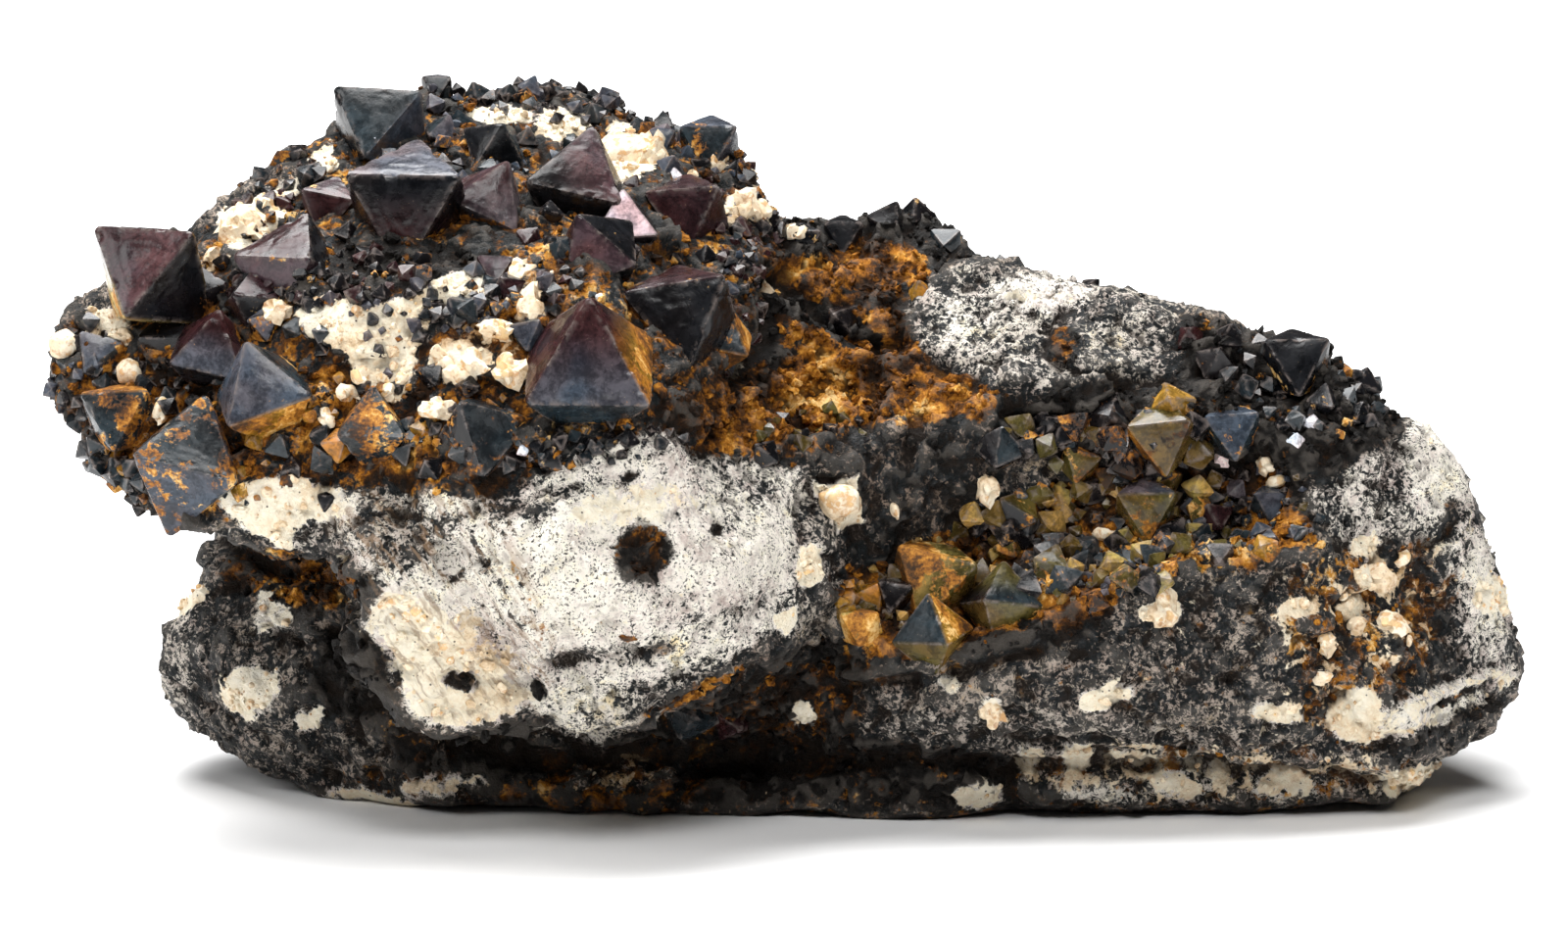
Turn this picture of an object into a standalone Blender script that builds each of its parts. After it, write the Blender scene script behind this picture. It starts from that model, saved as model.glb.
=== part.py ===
"""Magnetite specimen: octahedral magnetite crystals grown on a block of altered, speckled rock.

The front of the block is described the way it looks from the front, VIEW_TILT above level. A seen place is
(across, up): millimetres to the right of and above the middle of the base, on the plane through that middle
which faces the viewer. With a depth, the world Y of the place, it becomes a point of the block. The hidden
sides are described in world millimetres. X runs along the specimen, Y away from the viewer and Z up.
"""

import math

import bmesh
import bpy
import numpy as np
from mathutils import Matrix, Vector, noise
from mathutils.bvhtree import BVHTree

MM = 0.001

# How the specimen is looked at, which turns a seen place into a world point.
VIEW_TILT = math.radians(10.0)
EYE_DISTANCE = 700.0
MIDDLE_UP = 22.9

# Moves the finished specimen so that its origin is the middle of its footprint's box.
CENTRING = (-0.585, 1.576, 0.0)

# The block of rock.
ROCK_VOXEL = 0.9
ROCK_TRIANGLES = 4700
SMOOTHING_ROUNDS = 3
SMOOTHING_FACTOR = 0.5
HOLLOW_SUBDIVISIONS = 3
LUMP_SIZE = 9.0
LUMP_HEIGHT = 0.9
CHIP_SIZE = 2.6
CHIP_HEIGHT = 0.45
NOISE_GAIN = 1.0
NOISE_LACUNARITY = 2.0
LUMP_OCTAVES = 3
CHIP_OCTAVES = 2
CHIP_OFFSET = 1.0
CHIP_SHARPNESS = 2.0
CHIP_MIDDLE = 1.0

# The box that cuts the flat underside: its width and depth, and its height under the ground.
GROUND_SPAN = 200.0
GROUND_HEIGHT = 40.0

# The crystals. A crystal's base is cut to the rock with this gap.
GAP = 0.3
GAP_VOXEL = 0.5
GAP_TRIANGLES = 16000
PARALLEL = 1e-6

# The feldspar grains.
GRAIN_ROUGHNESS = 0.3
GRAIN_LUMPS = 1.6
GRAIN_LIFT = 0.2
GRAIN_SUBDIVISIONS = 2

# Convex lumps of rock, each the hull of its corners: first (across, up, depth) as seen, then (x, y, z) in
# the world.
ROCK_LUMPS = {
    "crystal_block": (
        (
            (-51.8, 28.0, -14.0), (-48.9, 21.7, -18.0), (-42.0, 18.9, -23.0), (-32.9, 19.6, -25.0),
            (-22.4, 20.7, -27.0), (-14.0, 23.1, -27.0), (-9.5, 25.9, -26.0), (-6.0, 28.0, -22.0),
            (-2.7, 29.4, -17.0), (-52.5, 32.3, -11.0), (-48.6, 35.7, -9.0), (-40.3, 38.9, -5.0),
            (-38.2, 41.0, -2.0), (-35.0, 42.3, 0.0), (-31.6, 44.8, 2.0), (-30.7, 47.7, 4.0),
            (-24.5, 48.4, 6.0), (-18.2, 48.4, 7.0), (-14.0, 48.0, 7.0), (-10.2, 46.8, 6.0),
            (-4.6, 45.4, 4.0), (-2.1, 43.1, 3.0), (-1.1, 40.3, 2.0), (-29.4, 35.0, -20.0),
            (-14.0, 35.0, -20.0),
        ),
        (
            (-44, 4, 31), (-40, 13, 27), (-32, 19, 35), (-19, 20, 44), (-8, 19, 44), (0, 22, 38),
            (-35, 19, 19), (-20, 27, 27), (-4, 27, 24), (2, 24, 14),
        ),
    ),
    "left_foot": (
        (
            (-44.9, 10.2, 0.0), (-42.6, 13.4, 2.0), (-40.9, 16.0, 3.0), (-39.2, 18.9, 4.0),
            (-28.0, 16.8, -6.0), (-38.5, 7.7, -7.0), (-26.6, -1.1, -9.0), (-32.9, -1.5, -5.0),
            (-35.0, -0.4, -3.0), (-37.9, 2.7, 0.0), (-41.0, 4.1, 2.0), (-43.7, 4.8, 4.0),
            (-44.4, 7.0, 3.0),
        ),
        ((-42, 12, 8), (-41, 13, 13), (-34, 20, 19), (-33, 17, 0), (-24, 19, 0), (-20, 24, 18)),
    ),
    "white_wedge": (
        (
            (-32.9, 20.2, -25.0), (-31.4, 16.8, -27.0), (-30.0, 13.9, -27.0), (-31.2, 9.8, -25.0),
            (-25.4, 3.5, -24.0), (-21.0, 4.2, -25.0), (-17.9, 5.3, -26.0), (-15.4, 3.2, -25.0),
            (-13.2, 1.8, -24.0), (-9.5, 4.1, -25.0), (-7.0, 7.6, -25.0), (-0.7, 10.5, -22.0),
            (3.2, 13.9, -18.0), (3.6, 16.8, -16.0), (1.5, 22.4, -15.0), (-5.6, 23.1, -20.0),
            (-9.8, 25.8, -25.0), (-16.8, 22.4, -27.0), (-11.2, 14.0, -31.0), (-16.8, 16.8, -30.0),
            (-7.0, 16.8, -29.0), (-23.8, 14.0, -29.0),
        ),
        ((-30, 0, 8), (-20, -4, 6), (0, -4, 6), (4, 0, 12), (-30, 4, 24), (4, 4, 26)),
    ),
    "base": (
        ((-32.9, 7.0, -8.0), (4.2, 7.0, -14.0), (35.0, 7.7, -15.0)),
        (
            (-34, -5, 0), (-24, -11, 0), (8, -13, 0), (43, -11, 0), (46, -2, 0), (41, 17, 0), (8, 20, 0),
            (-26, 18, 0), (-35, 8, 0), (-37, -6, 8), (-24, -13, 7), (8, -15, 7), (45, -14, 7),
            (50, 0, 9), (46, 18, 10), (-28, 22, 12), (-38, 6, 14), (44, -12, 14), (-30, -8, 14),
            (10, 26, 9),
        ),
    ),
    "core": (
        ((-28.0, 16.8, -8.0), (4.2, 19.6, -12.0)),
        (
            (-37, 2, 12), (-36, 10, 24), (-33, 18, 10), (-24, 26, 16), (-8, 28, 12), (4, 25, 26),
            (14, 27, 14), (32, 23, 12), (44, 17, 12), (45, 6, 20), (30, 18, 22), (-30, -2, 26),
            (40, -6, 12),
        ),
    ),
    "right_wall": (
        (
            (3.5, 11.2, -18.0), (7.0, 4.6, -17.0), (21.0, 4.1, -18.0), (35.0, 4.2, -17.0),
            (45.5, 2.7, -11.0), (51.0, 3.9, -5.0), (52.2, 7.0, -2.0), (52.2, 10.5, -1.0),
            (50.4, 14.7, -3.0), (49.4, 18.9, -4.0), (46.2, 24.9, -5.0), (42.4, 27.7, -6.0),
            (37.8, 25.2, -11.0), (37.1, 16.8, -14.0), (35.0, 11.2, -17.0), (14.0, 11.2, -19.0),
        ),
        ((8, 20, 8), (49, 12, 8), (51, 8, 12), (47, 15, 18), (44, 11, 23), (10, 22, 20), (30, 22, 16)),
    ),
    "right_upper": (
        (
            (8.8, 32.9, -3.0), (11.2, 37.1, -1.0), (16.1, 36.8, -2.0), (20.3, 35.6, -3.0),
            (25.2, 35.1, -4.0), (29.1, 33.6, -5.0), (33.2, 31.4, -5.0), (39.2, 30.8, -5.0),
            (42.8, 27.9, -5.0), (37.1, 26.3, -9.0), (28.0, 26.3, -11.0), (17.5, 27.0, -12.0),
            (9.5, 27.3, -11.0), (7.0, 23.1, -13.0), (4.2, 19.6, -14.0), (35.0, 19.6, -10.0),
            (4.9, 12.6, -14.0), (35.0, 12.6, -12.0),
        ),
        ((14, 14, 34), (24, 13, 32), (37, 9, 28), (42, 7, 26), (8, 24, 20), (24, 23, 20), (40, 17, 15)),
    ),
    "saddle": (
        (
            (-2.7, 39.8, 3.0), (2.8, 38.9, 4.0), (9.1, 39.3, 5.0), (12.3, 35.7, 1.0), (-2.1, 32.9, -6.0),
            (3.5, 31.9, -5.0), (9.1, 31.5, -4.0), (-4.2, 26.6, -17.0), (3.5, 25.2, -14.0),
            (9.1, 25.2, -12.0), (-5.6, 21.0, -20.0), (4.2, 19.6, -15.0),
        ),
        ((-4, 20, 36), (8, 20, 34), (12, 24, 20), (-4, 26, 14)),
    ),
    "ridge": (
        (
            (-1.3, 42.0, 7.0), (2.2, 39.5, 7.0), (7.0, 39.8, 7.0), (8.5, 40.7, 7.0), (10.4, 40.7, 7.0),
            (11.6, 39.1, 6.0), (14.0, 37.2, 5.0), (12.6, 32.9, 1.0), (0.0, 35.7, 3.0),
        ),
        ((-3, 16, 38), (6, 15, 38), (10, 14, 38), (14, 15, 34), (-3, 23, 30), (12, 22, 28)),
    ),
    "top_crest": (
        (
            (-31.4, 48.4, 3.0), (-26.3, 49.1, 5.0), (-16.8, 48.9, 7.0), (-13.3, 48.2, 7.0),
            (-10.5, 46.6, 5.0), (-14.0, 42.0, -5.0), (-29.4, 42.0, -6.0),
        ),
        ((-29, 11, 45), (-14, 14, 47), (-8, 16, 43), (-22, 20, 38)),
    ),
    "left_ledge": (
        (
            (-40.5, 19.6, -22.0), (-39.2, 18.6, -21.0), (-35.7, 16.4, -22.0), (-31.5, 17.6, -24.0),
            (-31.4, 21.0, -25.0), (-39.2, 21.0, -22.0),
        ),
        ((-38, -8, 20), (-30, -8, 18), (-30, 0, 24)),
    ),
}

# Hollows taken out of the rock: centre (across, up, depth) as seen, then the half sizes along X, Y and Z.
ROCK_HOLLOWS = {
    "vug_left": ((13.0, 16.8, -20.0), (9.0, 8.5, 6.8)),
    "vug_middle": ((21.7, 19.6, -18.0), (9.0, 8.0, 6.0)),
    "vug_right": ((31.2, 21.0, -15.0), (7.5, 7.0, 5.2)),
    "saddle_hollow": ((3.5, 30.8, -15.0), (7.0, 9.0, 7.5)),
    "shell_trough": ((-24.2, 14.0, -34.0), (5.5, 6.5, 8.5)),
    "left_recess": ((-35.0, 13.3, -18.0), (6.5, 11.0, 4.2)),
    "under_wedge": ((-11.2, 0.4, -19.0), (22.0, 9.5, 5.4)),
    "under_right": ((24.5, 0.0, -24.0), (26.0, 11.0, 3.6)),
}

# Three corners of a face of each octahedron and its centre, as seen, then the depth of the centre. Without
# a depth the centre stands on the rock in sight. Last is how far the centre is lifted towards the viewer,
# in half axes.
CRYSTALS = {
    "magnetite_left_large": ((-49.2, 39.8), (-42.0, 39.3), (-46.8, 33.2), (-45.0, 36.3), -14.0, 0.0),
    "magnetite_upper_left": ((-34.0, 40.8), (-39.4, 37.6), (-33.6, 37.4), (-35.0, 36.5), None, 0.0),
    "magnetite_behind_upper_left": ((-34.7, 42.5), (-30.5, 41.4), (-32.9, 39.0), (-32.5, 41.1), None, 0.1),
    "magnetite_top_large": ((-31.0, 43.3), (-23.0, 43.5), (-27.4, 36.1), (-26.7, 41.2), None, 0.15),
    "magnetite_crest_block": ((-32.0, 49.5), (-25.5, 49.6), (-30.0, 44.5), (-28.8, 46.7), 1.0, 0.0),
    "magnetite_crest_small": ((-25.9, 50.5), (-23.7, 50.5), (-24.8, 48.7), (-24.8, 49.7), 6.0, 0.0),
    "magnetite_crest_right": ((-19.1, 49.8), (-17.8, 50.5), (-17.2, 49.0), (-18.2, 49.5), 7.0, 0.0),
    "magnetite_crest_front": ((-25.3, 46.2), (-23.8, 48.0), (-23.2, 45.6), (-24.4, 46.3), None, 0.1),
    "magnetite_high_middle": ((-19.7, 47.3), (-22.4, 43.5), (-18.8, 44.4), (-20.7, 45.4), None, 0.15),
    "magnetite_middle": ((-23.7, 41.6), (-19.1, 39.4), (-19.6, 44.6), (-21.2, 41.3), None, 0.2),
    "magnetite_high_large": ((-13.6, 47.0), (-18.5, 42.9), (-11.4, 41.3), (-14.7, 42.2), None, 0.1),
    "magnetite_bright": ((-11.6, 42.6), (-9.0, 39.1), (-13.6, 38.9), (-11.3, 39.3), None, 0.0),
    "magnetite_under_bright": ((-14.7, 40.7), (-15.7, 35.1), (-10.6, 37.0), (-13.3, 37.7), None, 0.1),
    "magnetite_small_grey_a": ((-16.7, 39.0), (-15.1, 39.1), (-15.4, 37.0), (-16.3, 38.1), None, -0.1),
    "magnetite_small_mauve_a": ((-21.9, 37.7), (-19.3, 37.6), (-20.7, 35.5), (-20.6, 36.6), None, 0.15),
    "magnetite_small_mauve_b": ((-20.2, 36.2), (-18.3, 35.9), (-19.4, 34.0), (-19.7, 35.3), None, 0.15),
    "magnetite_small_grey_b": ((-18.3, 35.8), (-16.4, 36.5), (-17.0, 34.5), (-17.2, 35.6), None, 0.15),
    "magnetite_small_spire": ((-26.1, 36.7), (-27.1, 35.1), (-25.0, 35.4), (-26.0, 35.5), None, 0.15),
    "magnetite_dark_red": ((-9.9, 42.0), (-4.5, 42.8), (-7.1, 37.7), (-6.9, 40.7), None, 0.15),
    "magnetite_round_grey": ((-7.6, 46.7), (-3.1, 46.9), (-5.5, 43.5), (-5.3, 45.6), 3.0, 0.0),
    "magnetite_round_small": ((-9.8, 46.6), (-7.7, 46.7), (-8.6, 44.9), (-8.8, 45.9), 3.0, 0.0),
    "magnetite_far_right_a": ((-4.1, 39.3), (-3.1, 40.5), (-2.2, 39.1), (-3.1, 39.6), None, 0.1),
    "magnetite_front_large": ((-13.9, 34.6), (-18.3, 27.2), (-9.5, 27.0), (-13.9, 29.5), None, 0.2),
    "magnetite_right_dark": ((-11.2, 34.9), (-4.2, 36.5), (-7.1, 29.1), (-7.3, 33.2), None, 0.15),
    "magnetite_rusty_rim": ((-3.9, 34.2), (-6.1, 31.2), (-2.7, 30.4), (-4.3, 31.6), None, 0.15),
    "magnetite_mauve_grey": ((-39.9, 33.7), (-44.0, 29.8), (-38.6, 29.1), (-40.9, 30.7), None, 0.15),
    "magnetite_blue_grey": ((-38.6, 31.7), (-33.6, 27.4), (-39.3, 25.6), (-37.1, 27.7), None, 0.2),
    "magnetite_rusty_left": ((-50.1, 27.7), (-45.2, 28.2), (-47.9, 23.7), (-47.3, 26.2), None, 0.15),
    "magnetite_lower_left": ((-46.6, 23.7), (-38.5, 21.3), (-41.6, 27.2), (-42.6, 22.7), None, 0.1),
    "magnetite_ochre": ((-31.9, 24.9), (-26.9, 24.7), (-29.4, 22.1), (-29.4, 25.2), None, 0.1),
    "magnetite_dark_blue": ((-22.8, 27.3), (-18.3, 26.3), (-21.6, 21.7), (-21.7, 24.8), None, 0.0),
    "magnetite_edge_left": ((-50.1, 32.1), (-46.8, 31.7), (-50.0, 29.3), (-48.8, 30.3), None, -0.25),
    "magnetite_low_slab": ((-46.5, 31.7), (-43.8, 33.7), (-41.9, 31.8), (-44.0, 31.5), None, -0.3),
    "magnetite_dark_left": ((-43.8, 34.4), (-42.6, 37.0), (-39.3, 35.7), (-41.7, 34.9), None, 0.0),
    "magnetite_dark_mauve": ((-39.5, 35.1), (-38.4, 36.6), (-35.4, 34.1), (-37.9, 34.4), None, 0.0),
    "magnetite_small_left": ((-38.3, 33.2), (-36.1, 33.5), (-36.8, 31.6), (-37.1, 32.6), None, 0.1),
    "magnetite_small_blue_a": ((-24.0, 34.7), (-21.7, 34.2), (-23.2, 32.5), (-23.0, 33.7), None, 0.15),
    "magnetite_small_blue_b": ((-19.6, 32.5), (-17.3, 33.2), (-18.5, 30.8), (-18.2, 32.1), None, 0.1),
    "magnetite_vug_pyramid_a": ((15.5, 15.8), (14.1, 13.2), (18.7, 12.4), (15.5, 12.7), None, 0.25),
    "magnetite_vug_pyramid_b": ((10.7, 13.7), (7.6, 9.7), (11.6, 10.1), (10.6, 10.6), None, 0.25),
    "magnetite_vug_olive": ((8.3, 16.5), (14.2, 16.0), (9.2, 11.5), (10.7, 14.4), None, 0.1),
    "magnetite_vug_roof": ((23.4, 20.4), (28.4, 20.7), (25.8, 17.6), (25.8, 19.7), None, 0.2),
    "magnetite_vug_small_a": ((17.4, 16.2), (20.6, 15.1), (18.6, 14.0), (19.0, 15.4), None, 0.15),
    "magnetite_vug_small_b": ((14.9, 20.4), (17.6, 20.4), (18.6, 18.6), (16.6, 19.3), None, 0.15),
    "magnetite_vug_dark": ((15.6, 25.9), (17.0, 23.6), (15.0, 22.3), (15.3, 23.9), None, 0.15),
    "magnetite_vug_upper": ((20.0, 24.1), (22.7, 23.2), (20.9, 21.4), (21.1, 23.0), None, 0.15),
    "magnetite_vug_large": ((24.5, 25.3), (29.1, 26.2), (27.0, 21.8), (27.0, 24.8), None, 0.1),
    "magnetite_vug_yellow": ((3.9, 12.0), (6.9, 12.2), (5.3, 9.9), (5.5, 11.2), None, 0.15),
    "magnetite_vug_blue": ((33.5, 20.9), (35.9, 20.7), (34.8, 18.5), (34.6, 20.0), None, 0.15),
    "magnetite_ridge_blue": ((29.5, 25.8), (34.4, 26.3), (32.1, 23.5), (32.0, 25.2), None, 0.1),
    "magnetite_ridge_block": ((33.9, 31.4), (39.3, 31.5), (36.7, 28.0), (36.5, 30.1), None, 0.0),
}

# Rounded feldspar grains: seen place, then half width, half height and half depth.
GRAINS = {
    "feldspar_edge": ((-51.4, 31.4), (0.9, 1.2, 0.8)),
    "feldspar_left": ((-46.8, 29.3), (0.8, 1.05, 0.8)),
    "feldspar_top": ((-11.5, 44.8), (1.9, 1.9, 1.5)),
    "feldspar_upper_left": ((-38.5, 39.8), (1.7, 1.3, 1.2)),
    "feldspar_vug": ((3.9, 20.2), (1.5, 1.6, 1.1)),
}

# Each material: colour, roughness and how metallic it is.
ROCK_LOOK = ((0.30, 0.26, 0.22), 0.85, 0.0)
MAGNETITE_LOOK = ((0.09, 0.08, 0.09), 0.32, 0.25)
FELDSPAR_LOOK = ((0.82, 0.76, 0.64), 0.6, 0.0)


def clear_scene():
    for obj in list(bpy.data.objects):
        bpy.data.objects.remove(obj, do_unlink=True)


def new_collection(name):
    collection = bpy.data.collections.new(name)
    bpy.context.scene.collection.children.link(collection)
    return collection


def make_material(name, colour, roughness, metallic):
    material = bpy.data.materials.new(name)
    material.use_nodes = True
    shader = material.node_tree.nodes["Principled BSDF"]
    shader.inputs["Base Color"].default_value = (*colour, 1.0)
    shader.inputs["Roughness"].default_value = roughness
    shader.inputs["Metallic"].default_value = metallic
    return material


def eye():
    height = middle_height() + EYE_DISTANCE * math.sin(VIEW_TILT)
    return Vector((0.0, -EYE_DISTANCE * math.cos(VIEW_TILT), height))


def middle_height():
    """World height of the picture's middle, on the Z axis."""
    return MIDDLE_UP / math.cos(VIEW_TILT)


def sight(across, up):
    """Direction from the eye to a seen place, whose length reaches the plane through the middle."""
    forward = Vector((0.0, math.cos(VIEW_TILT), -math.sin(VIEW_TILT)))
    upward = Vector((0.0, math.sin(VIEW_TILT), math.cos(VIEW_TILT)))
    return forward * EYE_DISTANCE + Vector((across, 0.0, 0.0)) + upward * (up - MIDDLE_UP)


def seen(across, up, depth):
    """World point, in millimetres, that is seen at (across, up) and has world Y = depth."""
    start = eye()
    direction = sight(across, up)
    return start + direction * ((depth - start.y) / direction.y)


def object_from(name, mesh, collection):
    obj = bpy.data.objects.new(name, mesh)
    collection.objects.link(obj)
    return obj


def mesh_from(bm, name):
    mesh = bpy.data.meshes.new(name)
    bm.to_mesh(mesh)
    bm.free()
    return mesh


def show_as_cutter(obj):
    obj.hide_render = True
    obj.display_type = "WIRE"


def evaluated_mesh(obj):
    graph = bpy.context.evaluated_depsgraph_get()
    return bpy.data.meshes.new_from_object(obj.evaluated_get(graph))


def apply_modifiers(obj):
    mesh = evaluated_mesh(obj)
    old = obj.data
    obj.modifiers.clear()
    obj.data = mesh
    bpy.data.meshes.remove(old)


def voxel_remesh(obj, voxel):
    remesh = obj.modifiers.new("remesh", "REMESH")
    remesh.mode = "VOXEL"
    remesh.voxel_size = voxel * MM
    remesh.adaptivity = 0.0
    apply_modifiers(obj)


def decimate(obj, triangles):
    obj.data.calc_loop_triangles()
    reduce = obj.modifiers.new("reduce", "DECIMATE")
    reduce.ratio = min(1.0, triangles / len(obj.data.loop_triangles))
    reduce.use_collapse_triangulate = True
    apply_modifiers(obj)


def boolean(obj, cutter, operation):
    modifier = obj.modifiers.new(operation.lower(), "BOOLEAN")
    modifier.operation = operation
    modifier.solver = "EXACT"
    modifier.object = cutter
    apply_modifiers(obj)


def add_hull(bm, points):
    verts = [bm.verts.new(point * MM) for point in points]
    hull = bmesh.ops.convex_hull(bm, input=verts)
    inner = [item for item in hull["geom_interior"] if isinstance(item, bmesh.types.BMVert)]
    bmesh.ops.delete(bm, geom=inner, context="VERTS")


def rock_of_lumps(collection):
    """All the lumps overlapping in one mesh, which the remesh turns into one closed skin."""
    bm = bmesh.new()
    for seen_corners, hidden_corners in ROCK_LUMPS.values():
        points = [seen(*corner) for corner in seen_corners]
        points += [Vector(corner) for corner in hidden_corners]
        add_hull(bm, points)
    rock = object_from("matrix_rock", mesh_from(bm, "matrix_rock"), collection)
    voxel_remesh(rock, ROCK_VOXEL)
    return rock


def hollow_cutter(name, place, half_sizes, collection):
    bm = bmesh.new()
    size = Matrix.Diagonal(Vector(half_sizes) * MM).to_4x4()
    there = Matrix.Translation(seen(*place) * MM)
    bmesh.ops.create_icosphere(bm, subdivisions=HOLLOW_SUBDIVISIONS, radius=1.0, matrix=there @ size)
    cutter = object_from(name, mesh_from(bm, name), collection)
    show_as_cutter(cutter)
    return cutter


def smooth(obj, rounds):
    modifier = obj.modifiers.new("smooth", "SMOOTH")
    modifier.factor = SMOOTHING_FACTOR
    modifier.iterations = rounds
    apply_modifiers(obj)


def roughen(obj):
    """Moves each point of the rock along its normal, by broad lumps and by sharper chips."""
    bm = bmesh.new()
    bm.from_mesh(obj.data)
    bm.normal_update()
    moves = []
    for vert in bm.verts:
        place = vert.co / MM
        lump = noise.fractal(place / LUMP_SIZE, NOISE_GAIN, NOISE_LACUNARITY, LUMP_OCTAVES)
        chip = noise.ridged_multi_fractal(
            place / CHIP_SIZE, NOISE_GAIN, NOISE_LACUNARITY, CHIP_OCTAVES, CHIP_OFFSET, CHIP_SHARPNESS
        ) - CHIP_MIDDLE
        moves.append(vert.normal * (LUMP_HEIGHT * lump + CHIP_HEIGHT * chip) * MM)
    for vert, move in zip(bm.verts, moves):
        vert.co += move
    bm.to_mesh(obj.data)
    bm.free()


def cut_flat_underside(rock, cutters):
    bm = bmesh.new()
    size = Matrix.Diagonal((GROUND_SPAN * MM, GROUND_SPAN * MM, GROUND_HEIGHT * MM)).to_4x4()
    below = Matrix.Translation((0.0, 0.0, -GROUND_HEIGHT * MM / 2))
    bmesh.ops.create_cube(bm, size=1.0, matrix=below @ size)
    box = object_from("ground_cutter", mesh_from(bm, "ground_cutter"), cutters)
    show_as_cutter(box)
    boolean(rock, box, "DIFFERENCE")


def keep_piece(obj, kept):
    """Leaves one loose piece of a mesh, given as the indices of its vertices."""
    bm = bmesh.new()
    bm.from_mesh(obj.data)
    spare = [vert for vert in bm.verts if vert.index not in kept]
    bmesh.ops.delete(bm, geom=spare, context="VERTS")
    bm.to_mesh(obj.data)
    bm.free()


def loose_pieces(obj):
    """The vertex indices of each loose piece, the piece with the most vertices first."""
    neighbours = [[] for _ in obj.data.vertices]
    for edge in obj.data.edges:
        first, second = edge.vertices
        neighbours[first].append(second)
        neighbours[second].append(first)
    pieces = []
    left = set(range(len(neighbours)))
    while left:
        stack = [left.pop()]
        piece = set(stack)
        while stack:
            fresh = [other for other in neighbours[stack.pop()] if other in left]
            left.difference_update(fresh)
            piece.update(fresh)
            stack.extend(fresh)
        pieces.append(piece)
    return sorted(pieces, key=len, reverse=True)


def make_rock(parts, cutters):
    rock = rock_of_lumps(parts)
    for name, (place, half_sizes) in ROCK_HOLLOWS.items():
        boolean(rock, hollow_cutter(name, place, half_sizes, cutters), "DIFFERENCE")
    voxel_remesh(rock, ROCK_VOXEL)
    smooth(rock, SMOOTHING_ROUNDS)
    roughen(rock)
    voxel_remesh(rock, ROCK_VOXEL)
    decimate(rock, ROCK_TRIANGLES)
    cut_flat_underside(rock, cutters)
    keep_piece(rock, loose_pieces(rock)[0])
    return rock


def octahedron_axes(corners, centre):
    """Half axes of the regular octahedron that fits the seen corners best, as columns in world axes."""
    spread = (np.array(corners) - np.array(centre)).T
    left, sizes, right = np.linalg.svd(spread, full_matrices=False)
    rows = left @ right
    nearer = np.cross(rows[0], rows[1])
    if nearer.sum() < 0:
        nearer = -nearer
    half = sizes.mean()
    upward = np.array((0.0, math.sin(VIEW_TILT), math.cos(VIEW_TILT)))
    towards = np.array((0.0, -math.cos(VIEW_TILT), math.sin(VIEW_TILT)))
    axes = np.outer((1.0, 0.0, 0.0), rows[0]) + np.outer(upward, rows[1]) + np.outer(towards, nearer)
    return axes * half, half


def rock_in_sight(rock_tree, across, up):
    """World point where the line of sight to a seen place meets the rock."""
    direction = sight(across, up).normalized()
    hit = rock_tree.ray_cast(eye() * MM, direction)[0]
    if hit is None:
        raise ValueError(f"no rock is seen at {across:.1f}, {up:.1f}")
    return hit / MM, direction


def octahedron_points(corners, centre, depth, lift, rock_tree):
    axes, half = octahedron_axes(corners, centre)
    if depth is None:
        middle, direction = rock_in_sight(rock_tree, *centre)
        middle -= direction * half * lift
    else:
        middle = seen(*centre, depth)
    arms = [Vector(axes[:, column]) for column in range(3)]
    return [middle + arm * sign for arm in arms for sign in (1.0, -1.0)]


def far_apart(first, second):
    """Whether a plane parts two octahedra, tried across every face and along every pair of edges."""
    def directions(points):
        arms = [points[0] - points[1], points[2] - points[3], points[4] - points[5]]
        faces = [arms[0] + arms[1] * i + arms[2] * j for i in (1, -1) for j in (1, -1)]
        pairs = ((arms[0], arms[1]), (arms[1], arms[2]), (arms[0], arms[2]))
        edges = [a + b * sign for a, b in pairs for sign in (1, -1)]
        return faces, edges

    faces_a, edges_a = directions(first)
    faces_b, edges_b = directions(second)
    crosses = [a.cross(b) for a in edges_a for b in edges_b]
    for axis in faces_a + faces_b + [cross for cross in crosses if cross.length > PARALLEL]:
        spans = [[point.dot(axis) for point in points] for points in (first, second)]
        if max(spans[0]) < min(spans[1]) or max(spans[1]) < min(spans[0]):
            return True
    return False


def grown_together(points_by_name):
    """Lists of the names of octahedra that overlap, directly or through others."""
    groups = []
    for name, points in points_by_name.items():
        touched = [
            group
            for group in groups
            if any(not far_apart(points, points_by_name[other]) for other in group)
        ]
        joined = [other for group in touched for other in group] + [name]
        groups = [group for group in groups if group not in touched] + [joined]
    return groups


def make_gap_skin(rock, cutters):
    """The rock grown by the gap, which cuts the base of whatever stands on it."""
    skin = object_from("gap_cutter", rock.data.copy(), cutters)
    show_as_cutter(skin)
    voxel_remesh(skin, GAP_VOXEL)
    swell = skin.modifiers.new("swell", "DISPLACE")
    swell.strength = GAP * MM
    swell.mid_level = 0.0
    apply_modifiers(skin)
    voxel_remesh(skin, GAP_VOXEL)
    decimate(skin, GAP_TRIANGLES)
    return skin


def name_pieces(obj, points_by_name, parts):
    """Makes an object of each piece that the rock leaves of a group, named after the nearest crystal."""
    centres = {name: sum(points, Vector()) / len(points) for name, points in points_by_name.items()}
    kept = {}
    for piece in loose_pieces(obj):
        middle = sum((obj.data.vertices[index].co for index in piece), Vector()) / len(piece) / MM
        name = min(centres, key=lambda name: (centres[name] - middle).length)
        kept.setdefault(name, piece)
    whole = obj.data
    obj.name = "grown_group"
    for name, piece in kept.items():
        keep_piece(object_from(name, whole.copy(), parts), piece)
    bpy.data.objects.remove(obj)


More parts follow.
